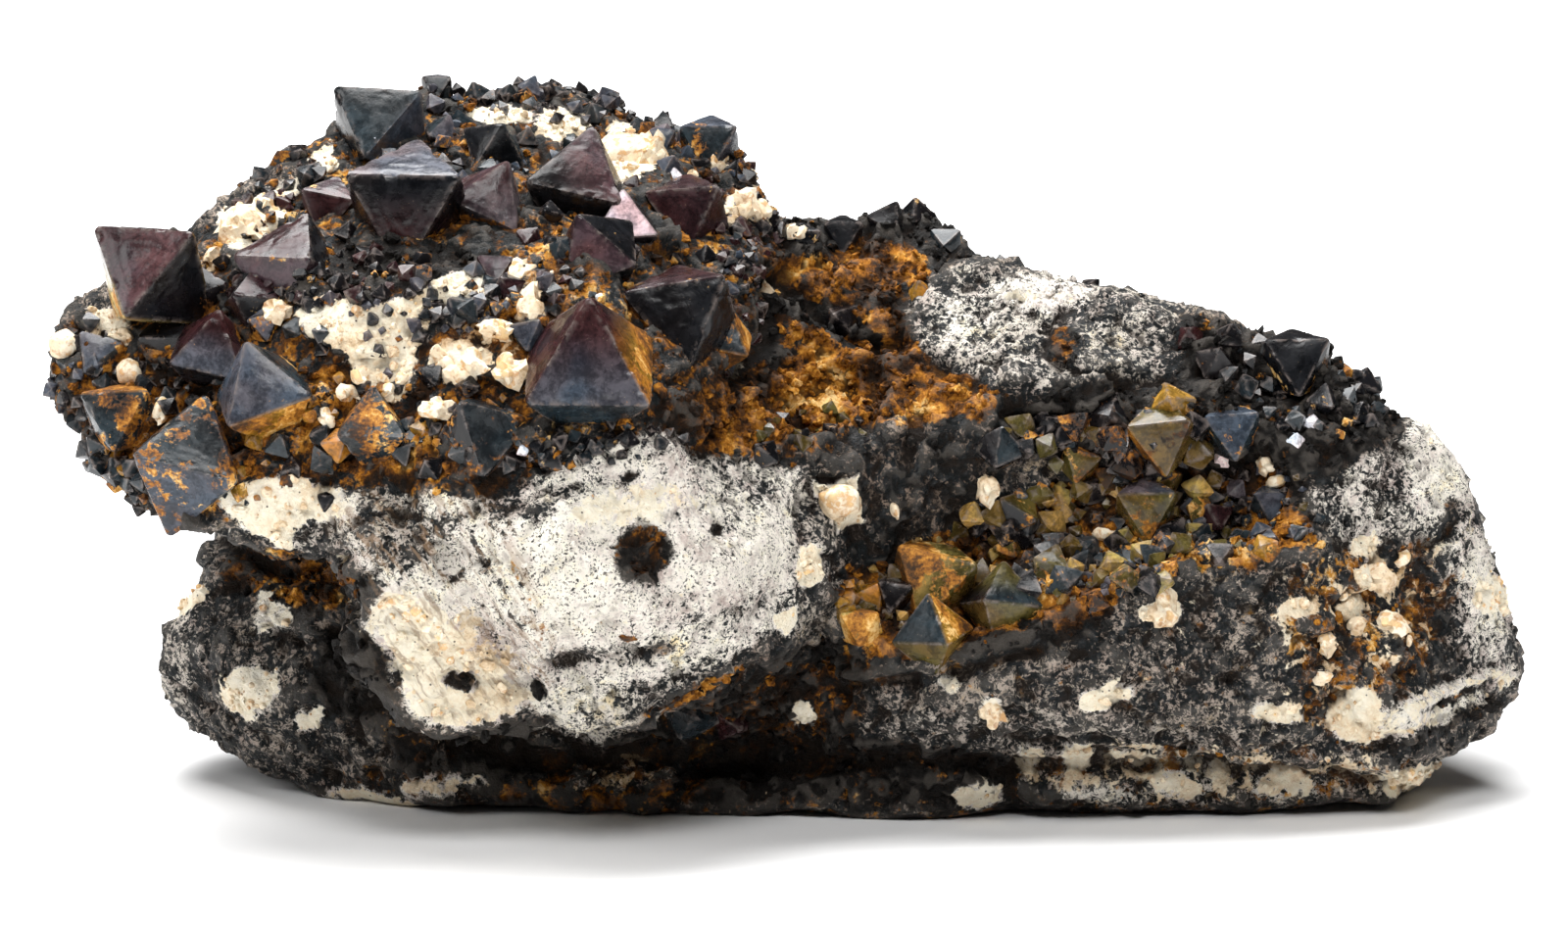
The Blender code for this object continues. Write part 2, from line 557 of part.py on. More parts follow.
def make_crystals(rock_tree, skin, parts, cutters, material):
    points_by_name = {
        name: octahedron_points(corners, centre, depth, lift, rock_tree)
        for name, (*corners, centre, depth, lift) in CRYSTALS.items()
    }
    for group in grown_together(points_by_name):
        crystals = []
        for name in group:
            bm = bmesh.new()
            add_hull(bm, points_by_name[name])
            crystals.append(object_from(name, mesh_from(bm, name), parts))
        first = crystals[0]
        first.data.materials.append(material)
        for other in crystals[1:]:
            boolean(first, other, "UNION")
            bpy.data.objects.remove(other)
        boolean(first, skin, "DIFFERENCE")
        name_pieces(first, {name: points_by_name[name] for name in group}, parts)


def make_grains(rock_tree, skin, parts, material):
    for name, (place, half_sizes) in GRAINS.items():
        middle, direction = rock_in_sight(rock_tree, *place)
        bm = bmesh.new()
        bmesh.ops.create_icosphere(bm, subdivisions=GRAIN_SUBDIVISIONS, radius=1.0)
        for vert in bm.verts:
            lump = 1.0 + GRAIN_ROUGHNESS * noise.noise(vert.co * GRAIN_LUMPS + middle)
            stretched = Vector(size * along for size, along in zip(half_sizes, vert.co))
            vert.co = (middle - direction * half_sizes[1] * GRAIN_LIFT + stretched * lump) * MM
        grain = object_from(name, mesh_from(bm, name), parts)
        grain.data.materials.append(material)
        grain.data.shade_smooth()
        boolean(grain, skin, "DIFFERENCE")
        keep_piece(grain, loose_pieces(grain)[0])


def centre_on_origin(parts):
    for obj in parts.objects:
        obj.data.transform(Matrix.Translation(Vector(CENTRING) * MM))


def main():
    clear_scene()
    parts = new_collection("magnetite_specimen")
    cutters = new_collection("cutters")
    rock = make_rock(parts, cutters)
    rock.data.materials.clear()
    rock.data.materials.append(make_material("rock", *ROCK_LOOK))
    rock_tree = BVHTree.FromObject(rock, bpy.context.evaluated_depsgraph_get())
    skin = make_gap_skin(rock, cutters)
    make_crystals(rock_tree, skin, parts, cutters, make_material("magnetite", *MAGNETITE_LOOK))
    make_grains(rock_tree, skin, parts, make_material("feldspar", *FELDSPAR_LOOK))
    centre_on_origin(parts)


main()
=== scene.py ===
"""Looks of the magnetite specimen: speckled, broken rock with rust in its hollows, and worn crystals.

Lengths are millimetres until a mesh is made. A place in the photograph is (x, y) in its pixels, with the
middle of the specimen's base at PICTURE_X, PICTURE_Y, on the plane through that middle that faces the eye.
"""

import itertools
import math

import bmesh
import bpy
import numpy as np
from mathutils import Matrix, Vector
from mathutils.bvhtree import BVHTree


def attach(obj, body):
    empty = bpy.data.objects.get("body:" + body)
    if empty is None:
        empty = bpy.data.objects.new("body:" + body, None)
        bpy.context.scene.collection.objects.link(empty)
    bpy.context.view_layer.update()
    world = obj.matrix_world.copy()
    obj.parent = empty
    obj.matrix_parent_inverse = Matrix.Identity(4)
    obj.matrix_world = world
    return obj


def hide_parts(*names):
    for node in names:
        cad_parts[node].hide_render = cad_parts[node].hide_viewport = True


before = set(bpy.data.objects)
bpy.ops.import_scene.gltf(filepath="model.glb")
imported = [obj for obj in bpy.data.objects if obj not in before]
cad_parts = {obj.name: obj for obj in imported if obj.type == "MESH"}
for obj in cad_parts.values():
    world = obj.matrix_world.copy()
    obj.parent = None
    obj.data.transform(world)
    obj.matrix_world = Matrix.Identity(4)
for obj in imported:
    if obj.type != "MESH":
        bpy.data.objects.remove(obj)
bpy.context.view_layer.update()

MM = 0.001

# How the photograph looks at the specimen, as in the CAD source.
VIEW_TILT = math.radians(10.0)
EYE_DISTANCE = 700.0
MIDDLE_UP = 22.9
CENTRING = np.array((-0.585, 1.576, 0.0))
PIXEL = 0.07
PICTURE_X = 800.0
PICTURE_Y = 800.0
PICTURE_WIDTH = 1600
SENSOR = 36.0

RIGHT = np.array((1.0, 0.0, 0.0))
FORWARD = np.array((0.0, math.cos(VIEW_TILT), -math.sin(VIEW_TILT)))
UPWARD = np.array((0.0, math.sin(VIEW_TILT), math.cos(VIEW_TILT)))
AIM = np.array((0.0, 0.0, MIDDLE_UP / math.cos(VIEW_TILT))) + CENTRING
EYE = AIM - FORWARD * EYE_DISTANCE

# The rock's skin.
ROCK_VOXEL = 0.36
ROCK_TRIANGLES = 192000
ROCK_SWELL = 0.3
# The rock's broken faces, coarse to fine: height, size and seed.
FRACTURE = ((0.6, 4.2, 20), (0.3, 1.9, 27), (0.16, 0.95, 33))
GROUND_FADE = 2.0
# A hollow of this depth under the skin smoothed this many times counts as a full one.
HOLLOW_DEPTH = 0.25
HOLLOW_ROUNDS = 10
# A point is in sight when no CAD rock stands further before it than this. The finished skin has more slack.
SIGHT_SLACK = 1.6
SKIN_SLACK = 2.4
# What is painted on the rock, and the way in which the white face's fibres run.
MASK_NAMES = ("pale", "rust", "cream", "dark")
FIBRE_WAY = np.array((0.57, 0.0, -0.82))

# The feldspar grains' skin.
GRAIN_VOXEL = 0.12
GRAIN_SWELL = 0.22

# Edges sharper than this stay sharp on crystals and crumbs.
SHARP_ANGLE = math.radians(32.0)
# Seeds of all random draws and of each kind of small piece's noise.
SEED = 7
CRYSTAL_SEED = 40
CRYSTAL_SEED_GAP = 13
SEEN_SEED = 900
CRUMB_SEED = 300

# The names of the crystals' nodes start so. A crystal with no node of its own is in the one it touches most,
# counted over the points of a lattice that lie as near as this to it.
CRYSTAL_NODES = "magnetite_"
TOUCHING = 0.05
TOUCHING_CUTS = 6
# A crystal's faces are cut into finer triangles the bigger it is.
CUTS_PER_MM = 6
CUTS_RANGE = (8, 34)
# How far up a crystal the rust of the rock reaches.
RUST_REACH = 0.5
# A crystal of this half size has wear 1, a smaller one less. Its growth steps lie so far in from its edges.
WORN_HALF = 4.5
WEAR_RANGE = (0.25, 1.2)
GROWTH_STEPS = (0.22, 0.5, 0.95)
STEP_HEIGHT = 0.035
STEP_WIDTH = 0.07
# From a point's smallest coordinate in half sizes to its distance from the edge.
TO_EDGE = 1.2247
TO_CORNER = 1.4
# How far behind the rock's skin the middle of a crystal that is placed by itself lies, in half sizes.
SEEN_SINK = 0.15

# Colours of the crystals, as light reflected: tarnish, except the pink and the white glint, which are painted
# reflections of the light.
MAUVE = (0.062, 0.034, 0.037)
MAROON = (0.030, 0.011, 0.012)
BLACK = (0.006, 0.006, 0.007)
GREY = (0.095, 0.092, 0.102)
PAINTED_PINK_GLINT = (0.480, 0.390, 0.405)
PAINTED_GLINT = (0.900, 0.900, 0.900)
BLUE = (0.050, 0.060, 0.074)
SLATE = (0.020, 0.028, 0.031)
OLIVE = (0.095, 0.070, 0.016)
YELLOW = (0.420, 0.300, 0.080)
OCHRE = (0.330, 0.160, 0.020)

# The big crystals, placed as in the CAD source: three corners of a face, its centre, its depth and its
# lift. Then the colour of that face and of the faces across from its three corners, and the share of rust.
# These colours are partly tarnish and partly painted reflection: faces that catch the light get lighter ones.
CRYSTALS = {
    "left_large": ((-49.2, 39.8), (-42, 39.3), (-46.8, 33.2), (-45, 36.3), -14, 0,
     (MAUVE, BLACK, YELLOW, MAROON, 0.05)),
    "upper_left": ((-34, 40.8), (-39.4, 37.6), (-33.6, 37.4), (-35, 36.5), None, 0,
     (MAROON, MAUVE, BLACK, MAROON, 0.1)),
    "behind_upper_left": ((-34.7, 42.5), (-30.5, 41.4), (-32.9, 39), (-32.5, 41.1), None, 0.1,
     (MAROON, BLACK, MAUVE, MAUVE, 0.1)),
    "top_large": ((-31, 43.3), (-23, 43.5), (-27.4, 36.1), (-26.7, 41.2), None, 0.15,
     (BLACK, BLACK, BLACK, GREY, 0.02)),
    "crest_block": ((-32, 49.5), (-25.5, 49.6), (-30, 44.5), (-28.8, 46.7), 1, 0,
     (SLATE, BLUE, BLACK, SLATE, 0.05)),
    "crest_small": ((-25.9, 50.5), (-23.7, 50.5), (-24.8, 48.7), (-24.8, 49.7), 6, 0,
     (SLATE, BLACK, BLACK, BLUE, 0.05)),
    "crest_right": ((-19.1, 49.8), (-17.8, 50.5), (-17.2, 49), (-18.2, 49.5), 7, 0,
     (BLUE, BLUE, GREY, BLUE, 0.05)),
    "crest_front": ((-25.3, 46.2), (-23.8, 48), (-23.2, 45.6), (-24.4, 46.3), None, 0.1,
     (GREY, GREY, BLACK, SLATE, 0.05)),
    "high_middle": ((-19.7, 47.3), (-22.4, 43.5), (-18.8, 44.4), (-20.7, 45.4), None, 0.15,
     (BLACK, BLACK, SLATE, BLACK, 0.05)),
    "middle": ((-23.7, 41.6), (-19.1, 39.4), (-19.6, 44.6), (-21.2, 41.3), None, 0.2,
     (MAROON, GREY, MAUVE, BLACK, 0.05)),
    "high_large": ((-13.6, 47), (-18.5, 42.9), (-11.4, 41.3), (-14.7, 42.2), None, 0.1,
     (MAUVE, BLACK, BLACK, SLATE, 0.08)),
    # The next crystal's seen face is a painted reflection of the light, pink-white.
    "bright": ((-11.6, 42.6), (-9, 39.1), (-13.6, 38.9), (-11.3, 39.3), None, 0,
     (PAINTED_PINK_GLINT, BLACK, BLACK, BLACK, 0)),
    "under_bright": ((-14.7, 40.7), (-15.7, 35.1), (-10.6, 37), (-13.3, 37.7), None, 0.1,
     (MAUVE, BLACK, BLACK, MAROON, 0.05)),
    "small_grey_a": ((-16.7, 39), (-15.1, 39.1), (-15.4, 37), (-16.3, 38.1), None, -0.1,
     (SLATE, SLATE, BLACK, BLACK, 0.05)),
    "small_mauve_a": ((-21.9, 37.7), (-19.3, 37.6), (-20.7, 35.5), (-20.6, 36.6), None, 0.15,
     (MAUVE, MAROON, MAROON, BLACK, 0)),
    "small_mauve_b": ((-20.2, 36.2), (-18.3, 35.9), (-19.4, 34), (-19.7, 35.3), None, 0.15,
     (MAROON, MAROON, MAROON, BLACK, 0)),
    "small_grey_b": ((-18.3, 35.8), (-16.4, 36.5), (-17, 34.5), (-17.2, 35.6), None, 0.15,
     (BLUE, BLUE, SLATE, BLUE, 0)),
    "small_spire": ((-26.1, 36.7), (-27.1, 35.1), (-25, 35.4), (-26, 35.5), None, 0.15,
     (GREY, BLUE, BLUE, SLATE, 0)),
    "dark_red": ((-9.9, 42), (-4.5, 42.8), (-7.1, 37.7), (-6.9, 40.7), None, 0.15,
     (MAROON, MAROON, BLACK, MAROON, 0.1)),
    "round_grey": ((-7.6, 46.7), (-3.1, 46.9), (-5.5, 43.5), (-5.3, 45.6), 3, 0,
     (SLATE, BLUE, SLATE, BLUE, 0.25)),
    "round_small": ((-9.8, 46.6), (-7.7, 46.7), (-8.6, 44.9), (-8.8, 45.9), 3, 0,
     (BLUE, BLUE, BLACK, BLUE, 0.05)),
    "far_right_a": ((-4.1, 39.3), (-3.1, 40.5), (-2.2, 39.1), (-3.1, 39.6), None, 0.1,
     (MAUVE, MAROON, MAROON, BLACK, 0.1)),
    "front_large": ((-13.9, 34.6), (-18.3, 27.2), (-9.5, 27), (-13.9, 29.5), None, 0.2,
     (BLUE, SLATE, OCHRE, MAROON, 0.12)),
    "right_dark": ((-11.2, 34.9), (-4.2, 36.5), (-7.1, 29.1), (-7.3, 33.2), None, 0.15,
     (BLACK, BLACK, BLACK, MAROON, 0.1)),
    "rusty_rim": ((-3.9, 34.2), (-6.1, 31.2), (-2.7, 30.4), (-4.3, 31.6), None, 0.15,
     (SLATE, OCHRE, OCHRE, BLACK, 0.4)),
    "mauve_grey": ((-39.9, 33.7), (-44, 29.8), (-38.6, 29.1), (-40.9, 30.7), None, 0.15,
     (GREY, BLACK, MAUVE, MAROON, 0.05)),
    "blue_grey": ((-38.6, 31.7), (-33.6, 27.4), (-39.3, 25.6), (-37.1, 27.7), None, 0.2,
     (BLUE, OCHRE, BLUE, SLATE, 0.1)),
    "rusty_left": ((-50.1, 27.7), (-45.2, 28.2), (-47.9, 23.7), (-47.3, 26.2), None, 0.15,
     (SLATE, SLATE, SLATE, OCHRE, 0.42)),
    "lower_left": ((-46.6, 23.7), (-38.5, 21.3), (-41.6, 27.2), (-42.6, 22.7), None, 0.1,
     (SLATE, BLUE, SLATE, BLUE, 0.38)),
    "ochre": ((-31.9, 24.9), (-26.9, 24.7), (-29.4, 22.1), (-29.4, 25.2), None, 0.1,
     (SLATE, SLATE, SLATE, SLATE, 0.42)),
    "dark_blue": ((-22.8, 27.3), (-18.3, 26.3), (-21.6, 21.7), (-21.7, 24.8), None, 0,
     (SLATE, SLATE, BLACK, SLATE, 0.3)),
    "edge_left": ((-50.1, 32.1), (-46.8, 31.7), (-50, 29.3), (-48.8, 30.3), None, -0.25,
     (BLUE, SLATE, BLACK, BLUE, 0.1)),
    "low_slab": ((-46.5, 31.7), (-43.8, 33.7), (-41.9, 31.8), (-44, 31.5), None, -0.3,
     (BLACK, BLACK, BLACK, BLACK, 0.1)),
    "dark_left": ((-43.8, 34.4), (-42.6, 37), (-39.3, 35.7), (-41.7, 34.9), None, 0,
     (BLACK, MAROON, BLACK, MAROON, 0.1)),
    "dark_mauve": ((-39.5, 35.1), (-38.4, 36.6), (-35.4, 34.1), (-37.9, 34.4), None, 0,
     (MAROON, MAUVE, BLACK, BLACK, 0.1)),
    "small_left": ((-38.3, 33.2), (-36.1, 33.5), (-36.8, 31.6), (-37.1, 32.6), None, 0.1,
     (GREY, BLACK, BLACK, BLACK, 0.2)),
    "small_blue_a": ((-24, 34.7), (-21.7, 34.2), (-23.2, 32.5), (-23, 33.7), None, 0.15,
     (SLATE, BLACK, BLUE, SLATE, 0.1)),
    "small_blue_b": ((-19.6, 32.5), (-17.3, 33.2), (-18.5, 30.8), (-18.2, 32.1), None, 0.1,
     (BLUE, BLUE, SLATE, SLATE, 0.1)),
    "vug_pyramid_a": ((15.5, 15.8), (14.1, 13.2), (18.7, 12.4), (15.5, 12.7), None, 0.25,
     (SLATE, OLIVE, OLIVE, BLACK, 0.1)),
    "vug_pyramid_b": ((10.7, 13.7), (7.6, 9.7), (11.6, 10.1), (10.6, 10.6), None, 0.25,
     (SLATE, OLIVE, OCHRE, BLACK, 0.1)),
    "vug_olive": ((8.3, 16.5), (14.2, 16), (9.2, 11.5), (10.7, 14.4), None, 0.1,
     (OLIVE, OLIVE, OCHRE, OLIVE, 0.35)),
    "vug_roof": ((23.4, 20.4), (28.4, 20.7), (25.8, 17.6), (25.8, 19.7), None, 0.2,
     (OLIVE, OLIVE, OLIVE, GREY, 0.25)),
    "vug_small_a": ((17.4, 16.2), (20.6, 15.1), (18.6, 14), (19, 15.4), None, 0.15,
     (OLIVE, SLATE, OLIVE, OLIVE, 0.3)),
    "vug_small_b": ((14.9, 20.4), (17.6, 20.4), (18.6, 18.6), (16.6, 19.3), None, 0.15,
     (OLIVE, OLIVE, BLACK, OLIVE, 0.3)),
    "vug_dark": ((15.6, 25.9), (17, 23.6), (15, 22.3), (15.3, 23.9), None, 0.15,
     (SLATE, BLACK, BLACK, SLATE, 0.05)),
    "vug_upper": ((20, 24.1), (22.7, 23.2), (20.9, 21.4), (21.1, 23), None, 0.15,
     (OLIVE, OLIVE, OLIVE, SLATE, 0.3)),
    "vug_large": ((24.5, 25.3), (29.1, 26.2), (27, 21.8), (27, 24.8), None, 0.1,
     (OLIVE, OLIVE, OCHRE, OLIVE, 0.25)),
    "vug_yellow": ((3.9, 12), (6.9, 12.2), (5.3, 9.9), (5.5, 11.2), None, 0.15,
     (YELLOW, YELLOW, OCHRE, YELLOW, 0.2)),
    "vug_blue": ((33.5, 20.9), (35.9, 20.7), (34.8, 18.5), (34.6, 20), None, 0.15,
     (BLUE, BLUE, SLATE, BLUE, 0.1)),
    "ridge_blue": ((29.5, 25.8), (34.4, 26.3), (32.1, 23.5), (32, 25.2), None, 0.1,
     (BLUE, SLATE, SLATE, BLUE, 0.15)),
    "ridge_block": ((33.9, 31.4), (39.3, 31.5), (36.7, 28), (36.5, 30.1), None, 0,
     (BLACK, BLACK, BLACK, BLACK, 0.05)),
}

# Crystals whose seen face turns to a second colour towards one of its corners, tarnish and painted reflection
# as above.
FADING = {
    "front_large": (0, MAROON), "top_large": (2, MAROON), "left_large": (0, MAROON), "high_large": (1, BLACK),
    "mauve_grey": (0, MAROON), "middle": (1, GREY), "vug_pyramid_a": (0, OLIVE), "vug_olive": (0, YELLOW),
}

# Smaller crystals one by one: place in the photograph, half size and colour, a tarnish or the white glint, a
# painted reflection.
SEEN_CRYSTALS = (
    (388, 152, 2.1, PAINTED_GLINT), (323, 176, 0.9, BLACK), (255, 201, 0.6, BLACK), (487, 98, 1.2, SLATE),
    (536, 88, 1.5, GREY), (443, 108, 1, GREY), (228, 269, 0.9, BLACK), (337, 305, 0.8, GREY),
    (311, 308, 0.9, BLACK), (389, 301, 0.9, BLACK), (368, 305, 1, BLACK), (475, 318, 1.3, SLATE),
    (443, 316, 0.9, BLACK), (311, 266, 0.6, SLATE), (289, 209, 0.9, MAROON), (427, 291, 0.9, BLUE),
    (298, 336, 1, SLATE), (267, 326, 1.2, GREY), (328, 342, 0.9, SLATE), (329, 358, 0.8, BLACK),
    (433, 322, 0.7, BLACK), (447, 311, 0.7, BLACK), (385, 358, 0.8, BLACK), (441, 383, 1.3, BLACK),
    (534, 341, 1.1, SLATE), (455, 369, 0.5, BLACK), (365, 397, 0.8, BLACK), (396, 383, 0.6, GREY),
    (551, 291, 1.1, GREY), (567, 305, 0.8, GREY), (211, 417, 1, BLACK), (604, 456, 1.1, BLACK),
    (534, 460, 0.6, PAINTED_GLINT), (612, 305, 0.5, PAINTED_GLINT), (573, 451, 0.3, PAINTED_GLINT), (335, 512, 1, BLACK),
    (676, 139, 1.2, GREY), (684, 171, 1.2, BLUE), (704, 158, 1, BLUE), (689, 181, 0.8, PAINTED_GLINT),
    (645, 189, 0.9, MAROON), (714, 170, 1.1, BLACK), (751, 174, 1, BLACK), (753, 235, 0.9, MAROON),
    (770, 249, 0.8, MAROON), (778, 228, 0.6, BLACK), (748, 272, 0.7, BLUE), (745, 297, 0.9, BLUE),
    (573, 255, 1.1, SLATE), (567, 299, 0.9, SLATE), (536, 342, 1, SLATE), (795, 239, 1, BLACK),
    (779, 466, 1.5, BLACK), (470, 128, 1.3, SLATE), (520, 148, 1.4, BLACK), (500, 176, 1.2, SLATE),
    (462, 178, 1, SLATE), (580, 148, 1.1, SLATE), (610, 118, 1.2, SLATE), (650, 132, 1, SLATE),
    (560, 220, 1.2, BLACK), (540, 245, 1.2, MAROON), (640, 262, 1.3, BLACK), (690, 268, 1.1, BLACK),
    (720, 262, 1, BLACK), (300, 232, 1, BLACK), (340, 215, 1.2, SLATE), (355, 240, 1.1, BLACK),
    (372, 262, 1, BLACK), (150, 398, 1.1, BLACK), (172, 405, 0.9, SLATE), (105, 392, 0.9, SLATE),
    (88, 422, 1, BLACK), (98, 452, 1.1, SLATE), (120, 480, 1.2, SLATE), (180, 330, 1, BLACK),
    (285, 455, 1.3, SLATE), (300, 480, 1.2, BLACK), (330, 470, 1.3, SLATE), (410, 462, 1.2, SLATE),
    (440, 478, 1.2, BLACK), (470, 462, 1.1, SLATE), (520, 470, 1.1, BLACK), (560, 470, 1.3, BLACK),
    (640, 450, 1, BLACK), (500, 420, 1, OCHRE), (345, 455, 1.4, OCHRE), (430, 440, 1, OCHRE),
    (1104, 557, 1, SLATE), (1158, 577, 0.9, BLUE), (1179, 560, 0.8, BLUE), (1199, 543, 0.9, BLUE),
    (1112, 589, 0.5, BLUE), (1128, 600, 0.5, BLUE), (1122, 572, 0.7, SLATE), (1073, 544, 1, YELLOW),
    (1109, 467, 1.5, OLIVE), (1125, 495, 0.8, YELLOW), (1325, 546, 1, SLATE), (1261, 500, 1.1, GREY),
    (1226, 467, 1, PAINTED_GLINT), (1246, 469, 0.9, PAINTED_GLINT), (1322, 450, 0.8, PAINTED_GLINT), (1340, 435, 1, PAINTED_GLINT),
    (1290, 560, 1.2, OCHRE), (1240, 530, 1.6, MAROON), (1225, 550, 1.3, SLATE), (913, 608, 1.8, BLACK),
    (1095, 522, 1, OLIVE), (1062, 505, 1.2, OLIVE), (1150, 545, 0.8, OLIVE), (1085, 610, 0.9, OCHRE),
    (980, 545, 1.3, OLIVE), (1020, 552, 1, OLIVE), (940, 655, 1.2, OCHRE), (890, 610, 1.5, OCHRE),
    (1130, 430, 2.4, BLACK), (1085, 445, 1.5, BLACK), (1195, 415, 2, OCHRE), (1240, 370, 1.8, BLACK),
    (1310, 395, 1.6, BLACK), (1350, 410, 1.5, BLACK), (1385, 425, 1.3, BLACK), (1215, 345, 1.3, MAROON),
    (1390, 395, 1.6, BLACK), (1255, 345, 1.3, BLACK), (860, 240, 2, BLACK), (905, 228, 1.9, BLACK),
    (935, 222, 1.6, BLACK), (965, 250, 1.6, SLATE), (820, 245, 1.6, BLACK), (860, 330, 2, BLACK),
    (940, 300, 1.2, OCHRE), (705, 728, 2.3, SLATE), (748, 735, 1.8, MAROON),
)

# Feldspar chunks one by one: place in the photograph and half size.
SEEN_CHUNKS = (
    (368, 383, 0.8), (394, 400, 0.9), (410, 389, 0.8), (455, 367, 0.9), (483, 372, 1.2), (472, 386, 0.9),
    (450, 420, 1.1), (520, 381, 0.9), (509, 339, 1.1), (537, 316, 1), (357, 403, 0.9), (335, 428, 0.7),
    (284, 319, 0.9), (531, 280, 0.9), (759, 213, 1.3), (775, 177, 1), (779, 214, 0.8), (732, 171, 0.7),
    (707, 180, 0.5), (811, 238, 0.9), (775, 299, 0.9), (745, 230, 0.8), (662, 164, 1.5), (1006, 498, 1),
    (1130, 548, 0.8), (1292, 475, 0.8), (1302, 493, 0.7), (913, 521, 0.5), (217, 266, 0.8), (265, 215, 1),
    (245, 240, 1.3), (95, 350, 0.7), (128, 345, 0.8), (165, 420, 0.7), (1186, 624, 1.2), (1012, 728, 0.9),
    (1405, 590, 1.2), (1430, 570, 0.9), (1385, 640, 1), (1350, 655, 0.9), (1420, 640, 1.1),
    (1345, 690, 0.8),
)


def oval(x, y, across, up, turn=0.0, corners=14):
    """Outline of an oval in the photograph, turned clockwise by degrees."""
    cosine, sine = math.cos(math.radians(turn)), math.sin(math.radians(turn))
    outline = []
    for corner in range(corners):
        angle = 2 * math.pi * corner / corners
        a, b = across * math.cos(angle), up * math.sin(angle)
        outline.append((x + a * cosine - b * sine, y + a * sine + b * cosine))
    return outline


WHITE_FACE = (
    (330, 510), (352, 560), (385, 600), (362, 655), (440, 745), (500, 735), (545, 720), (580, 750),
    (612, 767), (660, 735), (700, 690), (790, 650), (845, 600), (850, 560), (820, 480), (720, 470),
    (680, 430), (640, 450), (560, 480), (500, 515), (440, 505), (380, 500),
)
SHELL = (
    (330, 510), (440, 505), (500, 515), (540, 590), (575, 690), (545, 715), (440, 745), (362, 655),
    (385, 600),
)
WHITE_MIDDLE = (
    (395, 600), (375, 655), (440, 735), (500, 725), (545, 705), (580, 690), (640, 700), (740, 640),
    (800, 600), (800, 540), (760, 490), (690, 460), (620, 470), (540, 520), (480, 570),
)

